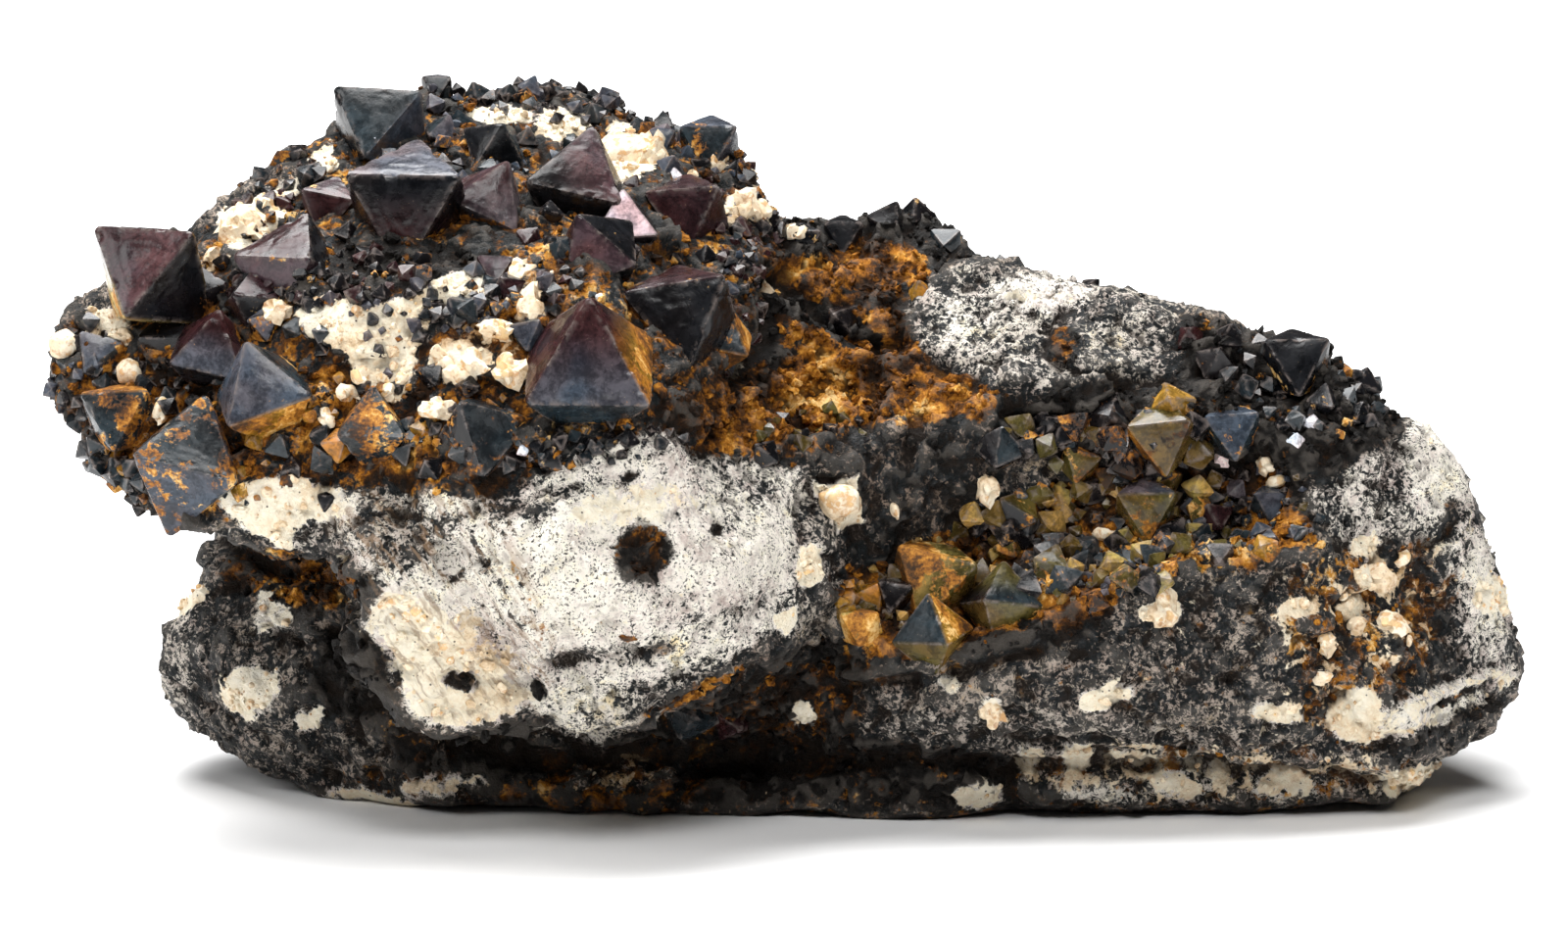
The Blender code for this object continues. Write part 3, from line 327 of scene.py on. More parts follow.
# Patches of the rock as the photograph shows them, painted one over the other. Each has its outline, how soft
# its edge is, and what it makes of the paleness of the grains, rust, feldspar and darkness.
PATCHES = (
    # The ground of the crystals on the upper left.
    (((40, 330), (100, 320), (215, 225), (300, 170), (345, 84), (430, 69), (560, 80), (640, 115),
     (755, 115), (800, 200), (790, 300), (760, 390), (690, 430), (640, 450), (560, 490), (480, 510),
     (330, 500), (235, 540), (150, 525), (75, 440)), 12, (0.25, 0.45, 0.15, 0.35)),
    (oval(290, 430, 240, 95, 5), 40, (0.2, 0.62, 0.14, 0.3)),
    (oval(560, 320, 70, 60), 25, (0.2, 0.6, 0.32, 0.2)),
    (oval(500, 345, 60, 22, -8), 14, (0.3, 0.7, 0.5, 0)),
    (oval(360, 280, 130, 26, -5), 12, (0.1, 0.3, 0, 0.8)),
    (((305, 318), (335, 305), (390, 312), (432, 304), (470, 276), (500, 283), (490, 305), (440, 322),
     (425, 350), (390, 372), (345, 350), (310, 342)), 7, (0.9, 0, 1, 0)),
    (((340, 345), (430, 340), (425, 375), (400, 408), (380, 400), (355, 370)), 9, (0.6, 0.15, 0.75, 0)),
    (oval(508, 118, 34, 9), 5, (0.9, 0, 1, 0)), (oval(574, 126, 28, 15), 5, (0.9, 0, 1, 0)),
    (oval(642, 158, 29, 30), 6, (0.9, 0, 1, 0)),
    (((225, 225), (262, 200), (305, 180), (335, 150), (345, 165), (325, 190), (290, 205), (275, 235),
     (240, 256), (228, 250)), 6, (0.9, 0, 1, 0)), (oval(757, 210, 17, 12), 5, (0.9, 0, 1, 0)),
    (((755, 130), (800, 190), (800, 235), (770, 225), (765, 180)), 6, (0.8, 0.2, 0.85, 0)),
    (oval(112, 328, 22, 12), 5, (0.9, 0, 0.95, 0)), (oval(600, 108, 60, 10, 10), 6, (0.2, 0.3, 0, 0.5)),
    (oval(470, 372, 30, 20), 8, (0.7, 0.2, 0.75, 0)),
    # The white face.
    (WHITE_FACE, 5, (0.68, 0.04, 0.12, 0)), (WHITE_MIDDLE, 26, (0.9, 0.06, 0.25, 0)),
    (oval(530, 520, 90, 17, -14), 14, (0.45, 0, 0, 0)),
    (oval(400, 540, 50, 40, 30), 18, (0.42, 0, 0, 0.15)),
    (((390, 602), (430, 610), (470, 640), (520, 690), (548, 714), (500, 740), (440, 748), (395, 705),
     (360, 655)), 5, (0.95, 0.05, 0.75, 0)), (oval(495, 640, 26, 48, -25), 16, (0.95, 0.3, 0.6, 0)),
    (oval(640, 520, 70, 20, -10), 18, (0.95, 0.12, 0.6, 0)),
    (oval(655, 566, 30, 32), 8, (0.3, 0.42, 0, 0.85)),
    (oval(655, 722, 75, 28, -20), 14, (0.48, 0.05, 0, 0.05)),
    (oval(765, 500, 60, 40, 30), 24, (0.62, 0.03, 0.05, 0)),
    (oval(700, 650, 110, 24, -16), 20, (0.66, 0.03, 0.05, 0)),
    # A painted shadow: a dark band under the lip of the white face.
    (((330, 640), (345, 680), (385, 730), (432, 772), (505, 764), (565, 747), (560, 730), (505, 745),
     (440, 754), (396, 714), (356, 668), (345, 640)), 3, (0, 0.1, 0, 1)),
    (oval(500, 600, 30, 60, -28), 18, (0.8, 0.08, 0.15, 0)),
    (oval(470, 695, 15, 12, 20), 5, (0.2, 0.2, 0, 0.8)), (oval(550, 703, 8, 8), 3, (0.1, 0.4, 0, 0.8)),
    (oval(668, 666, 20, 10, -20), 8, (0.3, 0.1, 0, 0.4)),
    (oval(585, 675, 32, 7, -8), 6, (0.4, 0.15, 0, 0.35)), (oval(732, 541, 6, 7), 3, (0, 0, 0, 1)),
    (oval(693, 529, 5, 4), 3, (0.1, 0.3, 0, 0.8)), (oval(465, 591, 6, 5), 3, (0.1, 0, 0, 0.9)),
    (oval(641, 491, 12, 6, 10), 4, (0.25, 0.1, 0, 0.6)), (oval(640, 650, 9, 5), 3, (0.6, 0.9, 0, 0)),
    (oval(540, 620, 5, 60, -24), 4, (0.7, 0.45, 0.3, 0)),
    (oval(500, 585, 4, 70, -30), 4, (0.45, 0.3, 0, 0.2)),
    (oval(828, 560, 22, 95, 4), 12, (0.42, 0, 0, 0.15)), (oval(825, 577, 13, 21, 5), 4, (0.95, 0.1, 1, 0)),
    (oval(803, 635, 13, 11), 4, (0.95, 0.05, 1, 0)), (oval(712, 706, 60, 7, -28), 5, (0.3, 0.7, 0, 0.6)),
    # The ledge, the left foot and the base under the face.
    (((222, 498), (300, 490), (345, 500), (352, 545), (300, 572), (240, 540)), 8, (0.9, 0, 0.9, 0)),
    (oval(330, 545, 30, 20), 8, (0.45, 0, 0.1, 0.2)),
    (((205, 530), (240, 540), (300, 575), (355, 560), (385, 600), (360, 655), (440, 750), (600, 770),
     (600, 840), (280, 840), (150, 760), (150, 610)), 10, (0.37, 0.1, 0.08, 0.25)),
    (oval(300, 595, 75, 32, 10), 14, (0.1, 0.6, 0, 0.75)),
    (oval(180, 670, 26, 90), 14, (0.45, 0.05, 0.1, 0.1)), (oval(256, 705, 28, 24, 20), 5, (0.95, 0, 1, 0)),
    (oval(316, 733, 14, 11), 4, (0.9, 0, 0.9, 0)), (oval(190, 612, 12, 14), 5, (0.9, 0.1, 0.9, 0)),
    (oval(275, 625, 14, 22, -30), 5, (0.8, 0, 0.5, 0)),
    # Dark rock with rust below the white face; its darkness is partly painted shade under the face's edge.
    (((360, 700), (440, 760), (600, 775), (700, 720), (860, 650), (900, 700), (860, 790), (420, 800)),
     14, (0.12, 0.35, 0, 0.8)), (oval(810, 718, 105, 26, -12), 20, (0.1, 0.55, 0, 0.95)),
    (((300, 800), (420, 780), (900, 760), (1440, 770), (1440, 850), (300, 850)),
     10, (0.35, 0.42, 0.15, 0.55)), (oval(380, 818, 50, 8, 8), 6, (0.9, 0.15, 0.8, 0)),
    (oval(440, 802, 32, 9, -8), 6, (0.85, 0.3, 0.65, 0)),
    (oval(620, 805, 120, 20, -3), 12, (0.25, 0.62, 0.15, 0.6)),
    # The saddle and the ridge.
    (((780, 235), (900, 260), (925, 330), (905, 420), (870, 450), (800, 475), (700, 460), (675, 420),
     (770, 370), (775, 300)), 14, (0.15, 0.74, 0, 0.75)),
    # The thin dark oval on the next line is a painted shadow in the groove under the ridge.
    (oval(835, 400, 65, 32, -18), 18, (0.2, 1.1, 0, 0.1)), (oval(850, 330, 75, 11, 24), 9, (0, 0.1, 0, 1)),
    (oval(835, 455, 60, 16, -8), 10, (0.3, 0.45, 0.1, 0.5)),
    (((785, 225), (810, 190), (900, 190), (920, 200), (950, 200), (990, 250), (960, 290), (930, 250),
     (860, 255), (800, 262)), 8, (0.1, 0.15, 0, 0.85)),
    (oval(900, 270, 50, 26, 10), 10, (0.2, 0.85, 0, 0.5)),
    (((895, 330), (925, 320), (960, 380), (1030, 400), (1000, 430), (930, 440), (905, 400)),
     10, (0.15, 0.9, 0, 0.2)),
    # The hump.
    (((925, 300), (985, 265), (1090, 288), (1165, 292), (1215, 318), (1250, 350), (1200, 385), (1110, 385),
     (1070, 410), (1010, 395), (960, 375), (930, 340)), 9, (0.46, 0.03, 0.05, 0)),
    (oval(1060, 300, 48, 14, 5), 10, (0.85, 0.08, 0.4, 0)),
    (oval(985, 320, 36, 22, 20), 12, (0.56, 0.03, 0.05, 0)),
    (oval(1130, 360, 60, 22, -8), 14, (0.45, 0, 0, 0.2)), (oval(1091, 350, 20, 16), 6, (0.2, 0.55, 0, 0.7)),
    # The hollow with crystals and what is around it.
    (((1205, 325), (1270, 338), (1370, 360), (1440, 430), (1400, 500), (1330, 560), (1240, 470),
     (1100, 430), (1030, 420), (1090, 400), (1200, 390)), 12, (0.1, 0.25, 0, 0.85)),
    (((870, 440), (1000, 440), (1040, 470), (1000, 520), (980, 570), (900, 550), (850, 480)),
     14, (0.28, 0.1, 0, 0.45)), (oval(785, 330, 14, 45), 10, (0, 0.2, 0, 0.95)),
    (((850, 590), (930, 560), (985, 545), (1060, 500), (1180, 470), (1300, 480), (1350, 560), (1260, 590),
     (1180, 575), (1140, 610), (1090, 650), (960, 675), (880, 665)), 12, (0.2, 0.9, 0.1, 0.1)),
    (oval(915, 600, 13, 40), 9, (0, 0.1, 0, 1)), (oval(1240, 525, 34, 26), 12, (0.1, 0.45, 0, 0.8)),
    (oval(1120, 440, 110, 22, -4), 10, (0.05, 0.2, 0, 0.95)), (oval(1190, 430, 32, 20), 9, (0.1, 1, 0, 0)),
    (oval(1040, 655, 90, 14, -10), 9, (0.1, 0.3, 0, 0.8)),
    (((832, 496), (880, 490), (872, 515), (878, 535), (852, 542), (845, 520)), 4, (0.95, 0, 1, 0)),
    # The right end and wall.
    (((1330, 500), (1400, 460), (1440, 430), (1475, 437), (1512, 540), (1548, 630), (1548, 700),
     (1400, 620), (1360, 560)), 16, (0.55, 0, 0.05, 0.1)),
    (((1440, 430), (1475, 437), (1512, 540), (1548, 630), (1500, 640), (1460, 560), (1450, 500)),
     12, (0.75, 0.08, 0.3, 0)), (oval(1480, 530, 12, 22, 10), 8, (0.3, 0.3, 0, 0.5)),
    (((860, 690), (960, 680), (1100, 660), (1200, 590), (1330, 565), (1400, 620), (1460, 700), (1550, 700),
     (1545, 750), (1440, 800), (900, 770)), 16, (0.36, 0.2, 0.21, 0.22)),
    (((1330, 560), (1480, 545), (1490, 640), (1400, 760), (1330, 740), (1300, 640)),
     20, (0.32, 0.5, 0.36, 0.05)), (oval(1450, 728, 60, 20, -24), 9, (0.75, 0.1, 0.5, 0.1)),
    (oval(1512, 700, 42, 12, -26), 7, (0.75, 0.1, 0.5, 0.1)),
    (oval(1475, 742, 60, 4, -24), 3, (0.2, 0.2, 0, 0.7)),
    (oval(1490, 712, 44, 3, -24), 3, (0.2, 0.3, 0, 0.6)),
    (oval(1386, 728, 24, 19, 0), 5, (0.7, 0.15, 0.75, 0)),
    (oval(1240, 792, 230, 28, 0), 16, (0.4, 0.42, 0.42, 0.25)),
    (oval(1185, 624, 17, 14), 4, (0.95, 0.05, 1, 0)), (oval(1130, 712, 28, 10, -6), 4, (0.95, 0.1, 1, 0)),
    (oval(1012, 728, 13, 12), 4, (0.95, 0.1, 1, 0)), (oval(967, 700, 12, 7), 4, (0.9, 0.1, 0.8, 0)),
    (oval(820, 725, 15, 12), 4, (0.9, 0.1, 0.8, 0)), (oval(1097, 770, 18, 9), 4, (0.9, 0.25, 0.9, 0)),
    (oval(985, 805, 36, 11), 7, (0.8, 0.25, 0.7, 0)), (oval(1395, 555, 13, 13), 4, (0.95, 0.05, 1, 0)),
    (oval(1402, 590, 20, 15), 4, (0.9, 0.15, 0.9, 0)), (oval(1375, 622, 14, 10), 4, (0.9, 0.15, 0.9, 0)),
    (oval(1325, 622, 16, 12), 5, (0.9, 0.2, 0.9, 0)), (oval(1525, 612, 18, 20), 6, (0.95, 0.05, 0.95, 0)),
    (oval(1305, 728, 22, 12), 5, (0.9, 0.2, 0.9, 0)), (oval(1382, 735, 28, 20), 6, (0.9, 0.15, 0.85, 0)),
    (oval(1440, 795, 40, 10, -20), 6, (0.9, 0.2, 0.85, 0)),
    # The layers along the base.
    (((870, 735), (1071, 728), (1200, 745), (1300, 755), (1071, 757), (960, 759), (870, 750)),
     9, (0.42, 0.1, 0.1, 0.1)),
    (((680, 765), (830, 752), (960, 765), (1040, 770), (1030, 805), (960, 815), (800, 815), (690, 800)),
     9, (0.1, 0.3, 0, 0.9)), (oval(996, 809, 22, 15), 6, (0.8, 0.2, 0.7, 0)),
    (oval(1052, 774, 16, 14), 5, (0.6, 0.3, 0.6, 0.1)), (oval(1157, 769, 28, 9), 5, (0.5, 0.3, 0.55, 0.1)),
    (oval(1200, 803, 24, 14), 6, (0.8, 0.25, 0.62, 0)), (oval(1244, 793, 14, 14), 5, (0.6, 0.3, 0.7, 0)),
    (oval(1309, 805, 26, 12), 6, (0.8, 0.32, 0.62, 0)), (oval(1120, 812, 46, 8), 6, (0.6, 0.3, 0.4, 0.1)),
    (oval(640, 790, 60, 18, -6), 9, (0.4, 0.5, 0.4, 0.1)),
    (oval(474, 798, 36, 6, -6), 4, (0.6, 0.3, 0.6, 0.1)),
    (oval(512, 775, 44, 20, -4), 7, (0.1, 0.05, 0, 0.8)),
    (oval(360, 690, 44, 50, -20), 16, (0.12, 0.12, 0, 0.8)),
    # A painted shadow: the rock's lowest rim, along the floor, made dark.
    (((300, 838), (380, 846), (700, 838), (1000, 842), (1300, 835), (1440, 826), (1440, 870), (300, 870)),
     6, (0.05, 0.1, 0, 0.95)),
)

# Grooves and ribs of the rock: a line in the photograph, its half width in pixels and its height in mm.
STROKES = (
    (((405, 500), (440, 560), (480, 630), (530, 700)), 22, -1.1),
    (((470, 515), (505, 580), (545, 640), (562, 700)), 12, 0.5),
    (((385, 600), (368, 655), (404, 702), (442, 738), (500, 730), (545, 712)), 9, 0.8),
    (((342, 645), (352, 676), (390, 724), (436, 764), (505, 756), (562, 740)), 9, -1.7),
    (((650, 555), (664, 575)), 20, -1.1), (((560, 678), (610, 672), (675, 664)), 9, -0.8),
    (((462, 692), (478, 698)), 11, -0.9), (((550, 700), (550, 706)), 7, -0.7),
    (((732, 538), (732, 545)), 6, -0.6), (((655, 745), (715, 705), (770, 682)), 8, -0.9),
    (((680, 440), (740, 480), (800, 520), (840, 570)), 14, -0.4),
    (((600, 560), (700, 620), (760, 570)), 50, 0.5), (((235, 556), (300, 590), (350, 568)), 9, -1.6),
    (((330, 500), (345, 545)), 9, -0.5),
    (((870, 758), (1000, 750), (1150, 748), (1300, 762), (1430, 780)), 9, 0.5),
    (((700, 785), (900, 778), (1100, 782), (1300, 788), (1430, 806)), 12, -1.3),
    (((430, 760), (560, 775), (700, 770), (830, 762)), 14, -1.2),
    (((795, 285), (840, 318), (870, 342), (915, 350)), 10, -2.2),
    (((800, 265), (850, 290), (900, 318)), 12, 0.9),
    (((800, 240), (870, 238), (920, 220), (945, 218)), 10, 0.6),
    (((905, 335), (915, 400), (905, 440)), 9, 0.7), (((890, 350), (893, 430)), 8, -0.8),
    (((782, 290), (785, 350), (745, 385)), 11, -1.6),
    (((700, 425), (770, 400), (850, 372), (890, 360)), 8, 0.7),
    (((870, 688), (960, 672), (1050, 648), (1140, 600), (1250, 580), (1340, 565)), 8, 0.6),
    (((860, 700), (960, 690), (1060, 668)), 8, -0.9), (((1030, 425), (1110, 432), (1160, 440)), 10, -1.5),
    (((1225, 380), (1290, 390), (1340, 395)), 9, -1.2),
    (((940, 370), (1030, 408), (1100, 402), (1200, 392)), 9, -0.7),
    (((1400, 745), (1470, 705), (1540, 680)), 6, 0.4), (((1400, 760), (1480, 728), (1545, 710)), 5, -0.4),
    (((1420, 775), (1490, 750), (1545, 735)), 5, 0.4), (((300, 805), (400, 822), (500, 800)), 8, 0.4),
)

# A dent in the ridge, whose back the photograph doesn't show over its crest: its line, half width and depth.
RIDGE_DENT = (((800, 196), (850, 200), (895, 205)), 24, 2.1)

# The patches' four values on the sides that the photograph doesn't show, and between the patches on the side
# that it does. The edges of a patch wander by about RAGGED pixels.
HIDDEN_GROUND = (0.4, 0.16, 0.08, 0.22)
SEEN_GROUND = (0.35, 0.15, 0.05, 0.3)
RAGGED = 11.0


# Noise over space

NEAR_CELLS = list(itertools.product((-1, 0, 1), repeat=3))


def hashed(cells, seed):
    """One even random number from 0 to 1 for each whole-number cell."""
    keys = cells.astype(np.int64).astype(np.uint32)
    mixed = keys[:, 0] * np.uint32(73856093) ^ keys[:, 1] * np.uint32(19349663)
    mixed = mixed ^ keys[:, 2] * np.uint32(83492791)
    mixed = mixed ^ np.uint32(seed * 2654435761 & 0xFFFFFFFF)
    mixed = (mixed ^ (mixed >> np.uint32(15))) * np.uint32(2246822519)
    mixed = (mixed ^ (mixed >> np.uint32(13))) * np.uint32(3266489917)
    return (mixed ^ (mixed >> np.uint32(16))).astype(np.float64) / 0xFFFFFFFF


def soft_noise(points, size, seed):
    """Smooth noise from -1 to 1 with bumps about size across."""
    places = points / size
    corner = np.floor(places)
    inside = places - corner
    inside = inside * inside * (3 - 2 * inside)
    total = np.zeros(len(points))
    for offset in itertools.product((0, 1), repeat=3):
        share = np.prod(np.where(offset, inside, 1 - inside), axis=1)
        total += share * hashed(corner + offset, seed)
    return total * 2 - 1


def rough_noise(points, size, seed, octaves=4, gain=0.5):
    """Soft noise with finer and finer noise added to it, from about -1 to 1."""
    total = np.zeros(len(points))
    height = 1.0
    whole = 0.0
    for octave in range(octaves):
        total += height * soft_noise(points + octave * 17.3, size / 2**octave, seed + octave)
        whole += height
        height *= gain
    return total / whole * 1.6


def crumbs(points, size, seed):
    """Way and distance from the nearest of scattered points, in sizes, and three numbers of that point."""
    places = points / size
    corner = np.floor(places)
    first = np.full(len(points), 9.0)
    away = np.zeros((len(points), 3))
    numbers = np.zeros((len(points), 3))
    for offset in NEAR_CELLS:
        cell = corner + offset
        way = places - cell - np.stack([hashed(cell, seed + axis) for axis in range(3)], axis=1)
        distance = np.linalg.norm(way, axis=1)
        nearer = distance < first
        first = np.where(nearer, distance, first)
        away[nearer] = way[nearer]
        numbers[nearer] = np.stack([hashed(cell[nearer], seed + 5 + axis) for axis in range(3)], axis=1)
    return away, first, numbers


def broken_faces(points, size, seed):
    """Height of rock broken into flat, tilted faces, from about -1 to 1."""
    away, _, numbers = crumbs(points + 0.25 * size * rough_noise(points, size, seed, 2)[:, None], size, seed)
    return (away * (numbers * 2 - 1)).sum(axis=1) * 1.6 + (numbers[:, 0] - 0.5)


def step(low, high, values):
    """0 below low, 1 above high and smooth between them."""
    share = np.clip((values - low) / (high - low), 0.0, 1.0)
    return share * share * (3 - 2 * share)


# The photograph's places

def pixels_of(points):
    """Where the photograph shows each point, in its pixels."""
    offset = points - EYE
    away = offset @ FORWARD
    across = offset @ RIGHT * EYE_DISTANCE / away
    up = offset @ UPWARD * EYE_DISTANCE / away + MIDDLE_UP
    return np.stack([PICTURE_X + across / PIXEL, PICTURE_Y - up / PIXEL], axis=1)


def sight(across, up):
    """Direction from the eye to a place in the picture plane, whose length reaches that plane."""
    return FORWARD * EYE_DISTANCE + RIGHT * across + UPWARD * (up - MIDDLE_UP)


def seen(across, up, depth):
    """The point seen there whose world Y, before centring, is the depth."""
    direction = sight(across, up)
    return EYE + direction * ((depth + CENTRING[1] - EYE[1]) / direction[1])


def from_line(places, line):
    """How many pixels each place is from a line of straight stretches."""
    corners = np.array(line, float)
    nearest = np.full(len(places), 1e9)
    for start, end in zip(corners[:-1], corners[1:]):
        side = end - start
        share = np.clip((places - start) @ side / (side @ side), 0.0, 1.0)
        nearest = np.minimum(nearest, np.linalg.norm(places - start - share[:, None] * side, axis=1))
    return nearest


def inside_by(places, outline):
    """How many pixels each place is inside an outline, negative outside."""
    corners = np.array(outline, float)
    nearest = np.full(len(places), 1e9)
    crossings = np.zeros(len(places), int)
    for start, end in zip(corners, np.roll(corners, -1, axis=0)):
        side = end - start
        offset = places - start
        share = np.clip(offset @ side / (side @ side), 0.0, 1.0)
        nearest = np.minimum(nearest, np.linalg.norm(offset - share[:, None] * side, axis=1))
        spans = (start[1] > places[:, 1]) != (end[1] > places[:, 1])
        rise = side[1] if side[1] else 1e-9
        crossings += spans & (places[:, 0] < start[0] + (places[:, 1] - start[1]) * side[0] / rise)
    return np.where(crossings % 2, nearest, -nearest)


# Meshes

def mesh_object(name, points, faces, smooth=True):
    """A mesh of triangles, from points in millimetres."""
    mesh = bpy.data.meshes.new(name)
    mesh.vertices.add(len(points))
    mesh.vertices.foreach_set("co", (np.asarray(points) * MM).astype(np.float32).ravel())
    mesh.loops.add(len(faces) * 3)
    mesh.loops.foreach_set("vertex_index", np.asarray(faces, np.int32).ravel())
    mesh.polygons.add(len(faces))
    mesh.polygons.foreach_set("loop_start", np.arange(0, len(faces) * 3, 3, dtype=np.int32))
    mesh.update(calc_edges=True)
    mesh.validate()
    if smooth:
        mesh.shade_smooth()
    obj = bpy.data.objects.new(name, mesh)
    bpy.context.scene.collection.objects.link(obj)
    return obj


def points_of(mesh):
    points = np.empty(len(mesh.vertices) * 3)
    mesh.vertices.foreach_get("co", points)
    return points.reshape(-1, 3) / MM


def set_points(mesh, points):
    mesh.vertices.foreach_set("co", (points * MM).astype(np.float32).ravel())
    mesh.update()


def normals_of(mesh):
    normals = np.empty(len(mesh.vertices) * 3)
    mesh.vertex_normals.foreach_get("vector", normals)
    return normals.reshape(-1, 3)


def edges_of(mesh):
    edges = np.empty(len(mesh.edges) * 2, np.int32)
    mesh.edges.foreach_get("vertices", edges)
    return edges.reshape(-1, 2)


def triangles_of(mesh):
    mesh.calc_loop_triangles()
    faces = np.empty(len(mesh.loop_triangles) * 3, np.int32)
    mesh.loop_triangles.foreach_get("vertices", faces)
    return faces.reshape(-1, 3)


def blurred(values, edges, rounds):
    """Values at the points, each averaged with its neighbours' a number of times."""
    count = len(values)
    degree = np.bincount(edges.ravel(), minlength=count) + 1.0
    values = np.asarray(values, float)
    flat = values.reshape(count, -1)
    for _ in range(rounds):
        total = flat.copy()
        for column in range(flat.shape[1]):
            total[:, column] += np.bincount(edges[:, 0], flat[edges[:, 1], column], count)
            total[:, column] += np.bincount(edges[:, 1], flat[edges[:, 0], column], count)
        flat = total / degree[:, None]
    return flat.reshape(values.shape)


def set_number(mesh, name, values):
    mesh.attributes.new(name, "FLOAT", "POINT").data.foreach_set("value", values.astype(np.float32))


def set_colour(mesh, name, colours):
    filled = np.concatenate([colours, np.ones((len(colours), 1))], axis=1).astype(np.float32)
    mesh.attributes.new(name, "FLOAT_COLOR", "POINT").data.foreach_set("color", filled.ravel())


def finish_piece(obj, material, slot, *nodes):
    """The piece gets its material and rides on the root, in place of the CAD nodes named."""
    obj.data.materials.clear()
    obj.data.materials.append(material)
    if nodes:
        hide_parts(*nodes)
    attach(obj, "root")


def apply_modifiers(obj):
    """The object's mesh becomes what its modifiers make of it."""
    graph = bpy.context.evaluated_depsgraph_get()
    mesh = bpy.data.meshes.new_from_object(obj.evaluated_get(graph))
    old = obj.data
    obj.modifiers.clear()
    obj.data = mesh
    bpy.data.meshes.remove(old)


def voxel_copy(node, name, voxel):
    """A closed, even copy of a CAD node's mesh."""
    bm = bmesh.new()
    bm.from_mesh(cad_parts[node].data)
    bmesh.ops.remove_doubles(bm, verts=bm.verts, dist=1e-6)
    mesh = bpy.data.meshes.new(name)
    bm.to_mesh(mesh)
    bm.free()
    mesh.materials.clear()
    obj = bpy.data.objects.new(name, mesh)
    bpy.context.scene.collection.objects.link(obj)
    remesh = obj.modifiers.new("remesh", "REMESH")
    remesh.mode = "VOXEL"
    remesh.voxel_size = voxel * MM
    apply_modifiers(obj)
    return obj


def tree_of(mesh):
    """Search tree of a mesh, in millimetres."""
    return BVHTree.FromPolygons(points_of(mesh).tolist(), triangles_of(mesh).tolist())


def in_sight(points, tree, slack):
    """1 for each point that the photograph shows, 0 for one behind the rock."""
    eye = Vector(EYE)
    shown = np.zeros(len(points))
    for index, point in enumerate(points):
        direction = Vector(point) - eye
        distance = direction.length
        hit = tree.ray_cast(eye, direction / distance)[3]
        shown[index] = hit is None or distance - hit < slack
    return shown


# Crystals

def octahedron_lattice(cuts):
    """Points of the octahedron |x| + |y| + |z| = 1 in an even lattice, and its triangles."""
    index = {}
    faces = []

    def corner(signs, steps):
        key = tuple(sign * count for sign, count in zip(signs, steps))
        return index.setdefault(key, len(index))

    for signs in itertools.product((1, -1), repeat=3):
        for a in range(cuts):
            for b in range(cuts - a):
                c = cuts - 1 - a - b
                triangles = [((a + 1, b, c), (a, b + 1, c), (a, b, c + 1))]
                if c > 0:
                    triangles.append(((a + 1, b + 1, c - 1), (a, b + 1, c), (a + 1, b, c)))
                for triangle in triangles:
                    face = [corner(signs, steps) for steps in triangle]
                    faces.append(face if np.prod(signs) > 0 else face[::-1])
    points = np.array(list(index), float) / cuts
    return points, np.array(faces)


def octahedron_axes(corners, centre):
    """Half axes of the regular octahedron that fits the seen corners best, as columns, and their length."""
    spread = (np.array(corners) - np.array(centre)).T
    left, sizes, right = np.linalg.svd(spread, full_matrices=False)
    rows = left @ right
    nearer = np.cross(rows[0], rows[1])
    if nearer.sum() < 0:
        nearer = -nearer
    half = sizes.mean()
    return (np.outer(RIGHT, rows[0]) + np.outer(UPWARD, rows[1]) - np.outer(FORWARD, nearer)) * half, half


def crystal_place(name, rock_tree):
    """Middle, half axes and half size of one of the big crystals."""
    *corners, centre, depth, lift, _ = CRYSTALS[name]
    axes, half = octahedron_axes(corners, centre)
    if depth is None:
        direction = sight(*centre)
        direction = direction / np.linalg.norm(direction)
        middle = np.array(rock_tree.ray_cast(Vector(EYE), Vector(direction))[0]) - direction * half * lift
    else:
        middle = seen(*centre, depth)
    return middle, axes, half


def worn_octahedron(lattice, middle, axes, half, seed):
    """Surface of a natural octahedron: rounded, chipped edges and faces with low growth steps."""
    signs = np.sign(lattice)
    outward = signs @ (axes / half).T
    outward /= np.linalg.norm(outward, axis=1)[:, None]
    ordered = np.sort(np.abs(lattice), axis=1)
    from_edge = ordered[:, 0] * half * TO_EDGE
    from_corner = (1 - ordered[:, 2]) * half * TO_CORNER
    points = middle + lattice @ axes.T
    wear = np.clip(half / WORN_HALF, *WEAR_RANGE)
    wobble = rough_noise(points, 1.4, seed, 3)
    radius = (0.025 + 0.03 * rough_noise(points, 0.9, seed + 5, 2)) * wear
    sunk = radius * np.clip(1 - from_edge / (2.2 * np.maximum(radius, 0.03)), 0, 1) ** 2
    chip = step(0.35, 0.8, rough_noise(points, 1.3 * wear, seed + 9, 3))
    sunk += 0.2 * wear * chip * np.clip(1 - from_edge / (0.5 * wear), 0, 1)
    sunk += 0.3 * wear * np.clip(1 - from_corner / (0.5 * wear), 0, 1) ** 2
    plate = from_edge + 0.22 * wear * wobble
    for number, distance in enumerate(GROWTH_STEPS):
        height = STEP_HEIGHT * wear * (0.6 + 0.8 * hashed(signs + number, seed))
        sunk -= height * step(distance * wear * 1.3, distance * wear * 1.3 + STEP_WIDTH, plate)
    sunk += 0.014 * wear * rough_noise(points, 2.2 * wear, seed + 21, 4)
    pit = step(0.62, 0.8, soft_noise(points, 0.42, seed + 31))
    sunk += 0.05 * wear * pit
    edge = np.clip(1 - from_edge / (0.22 * wear + 0.05), 0, 1)
    return points - outward * sunk[:, None], edge


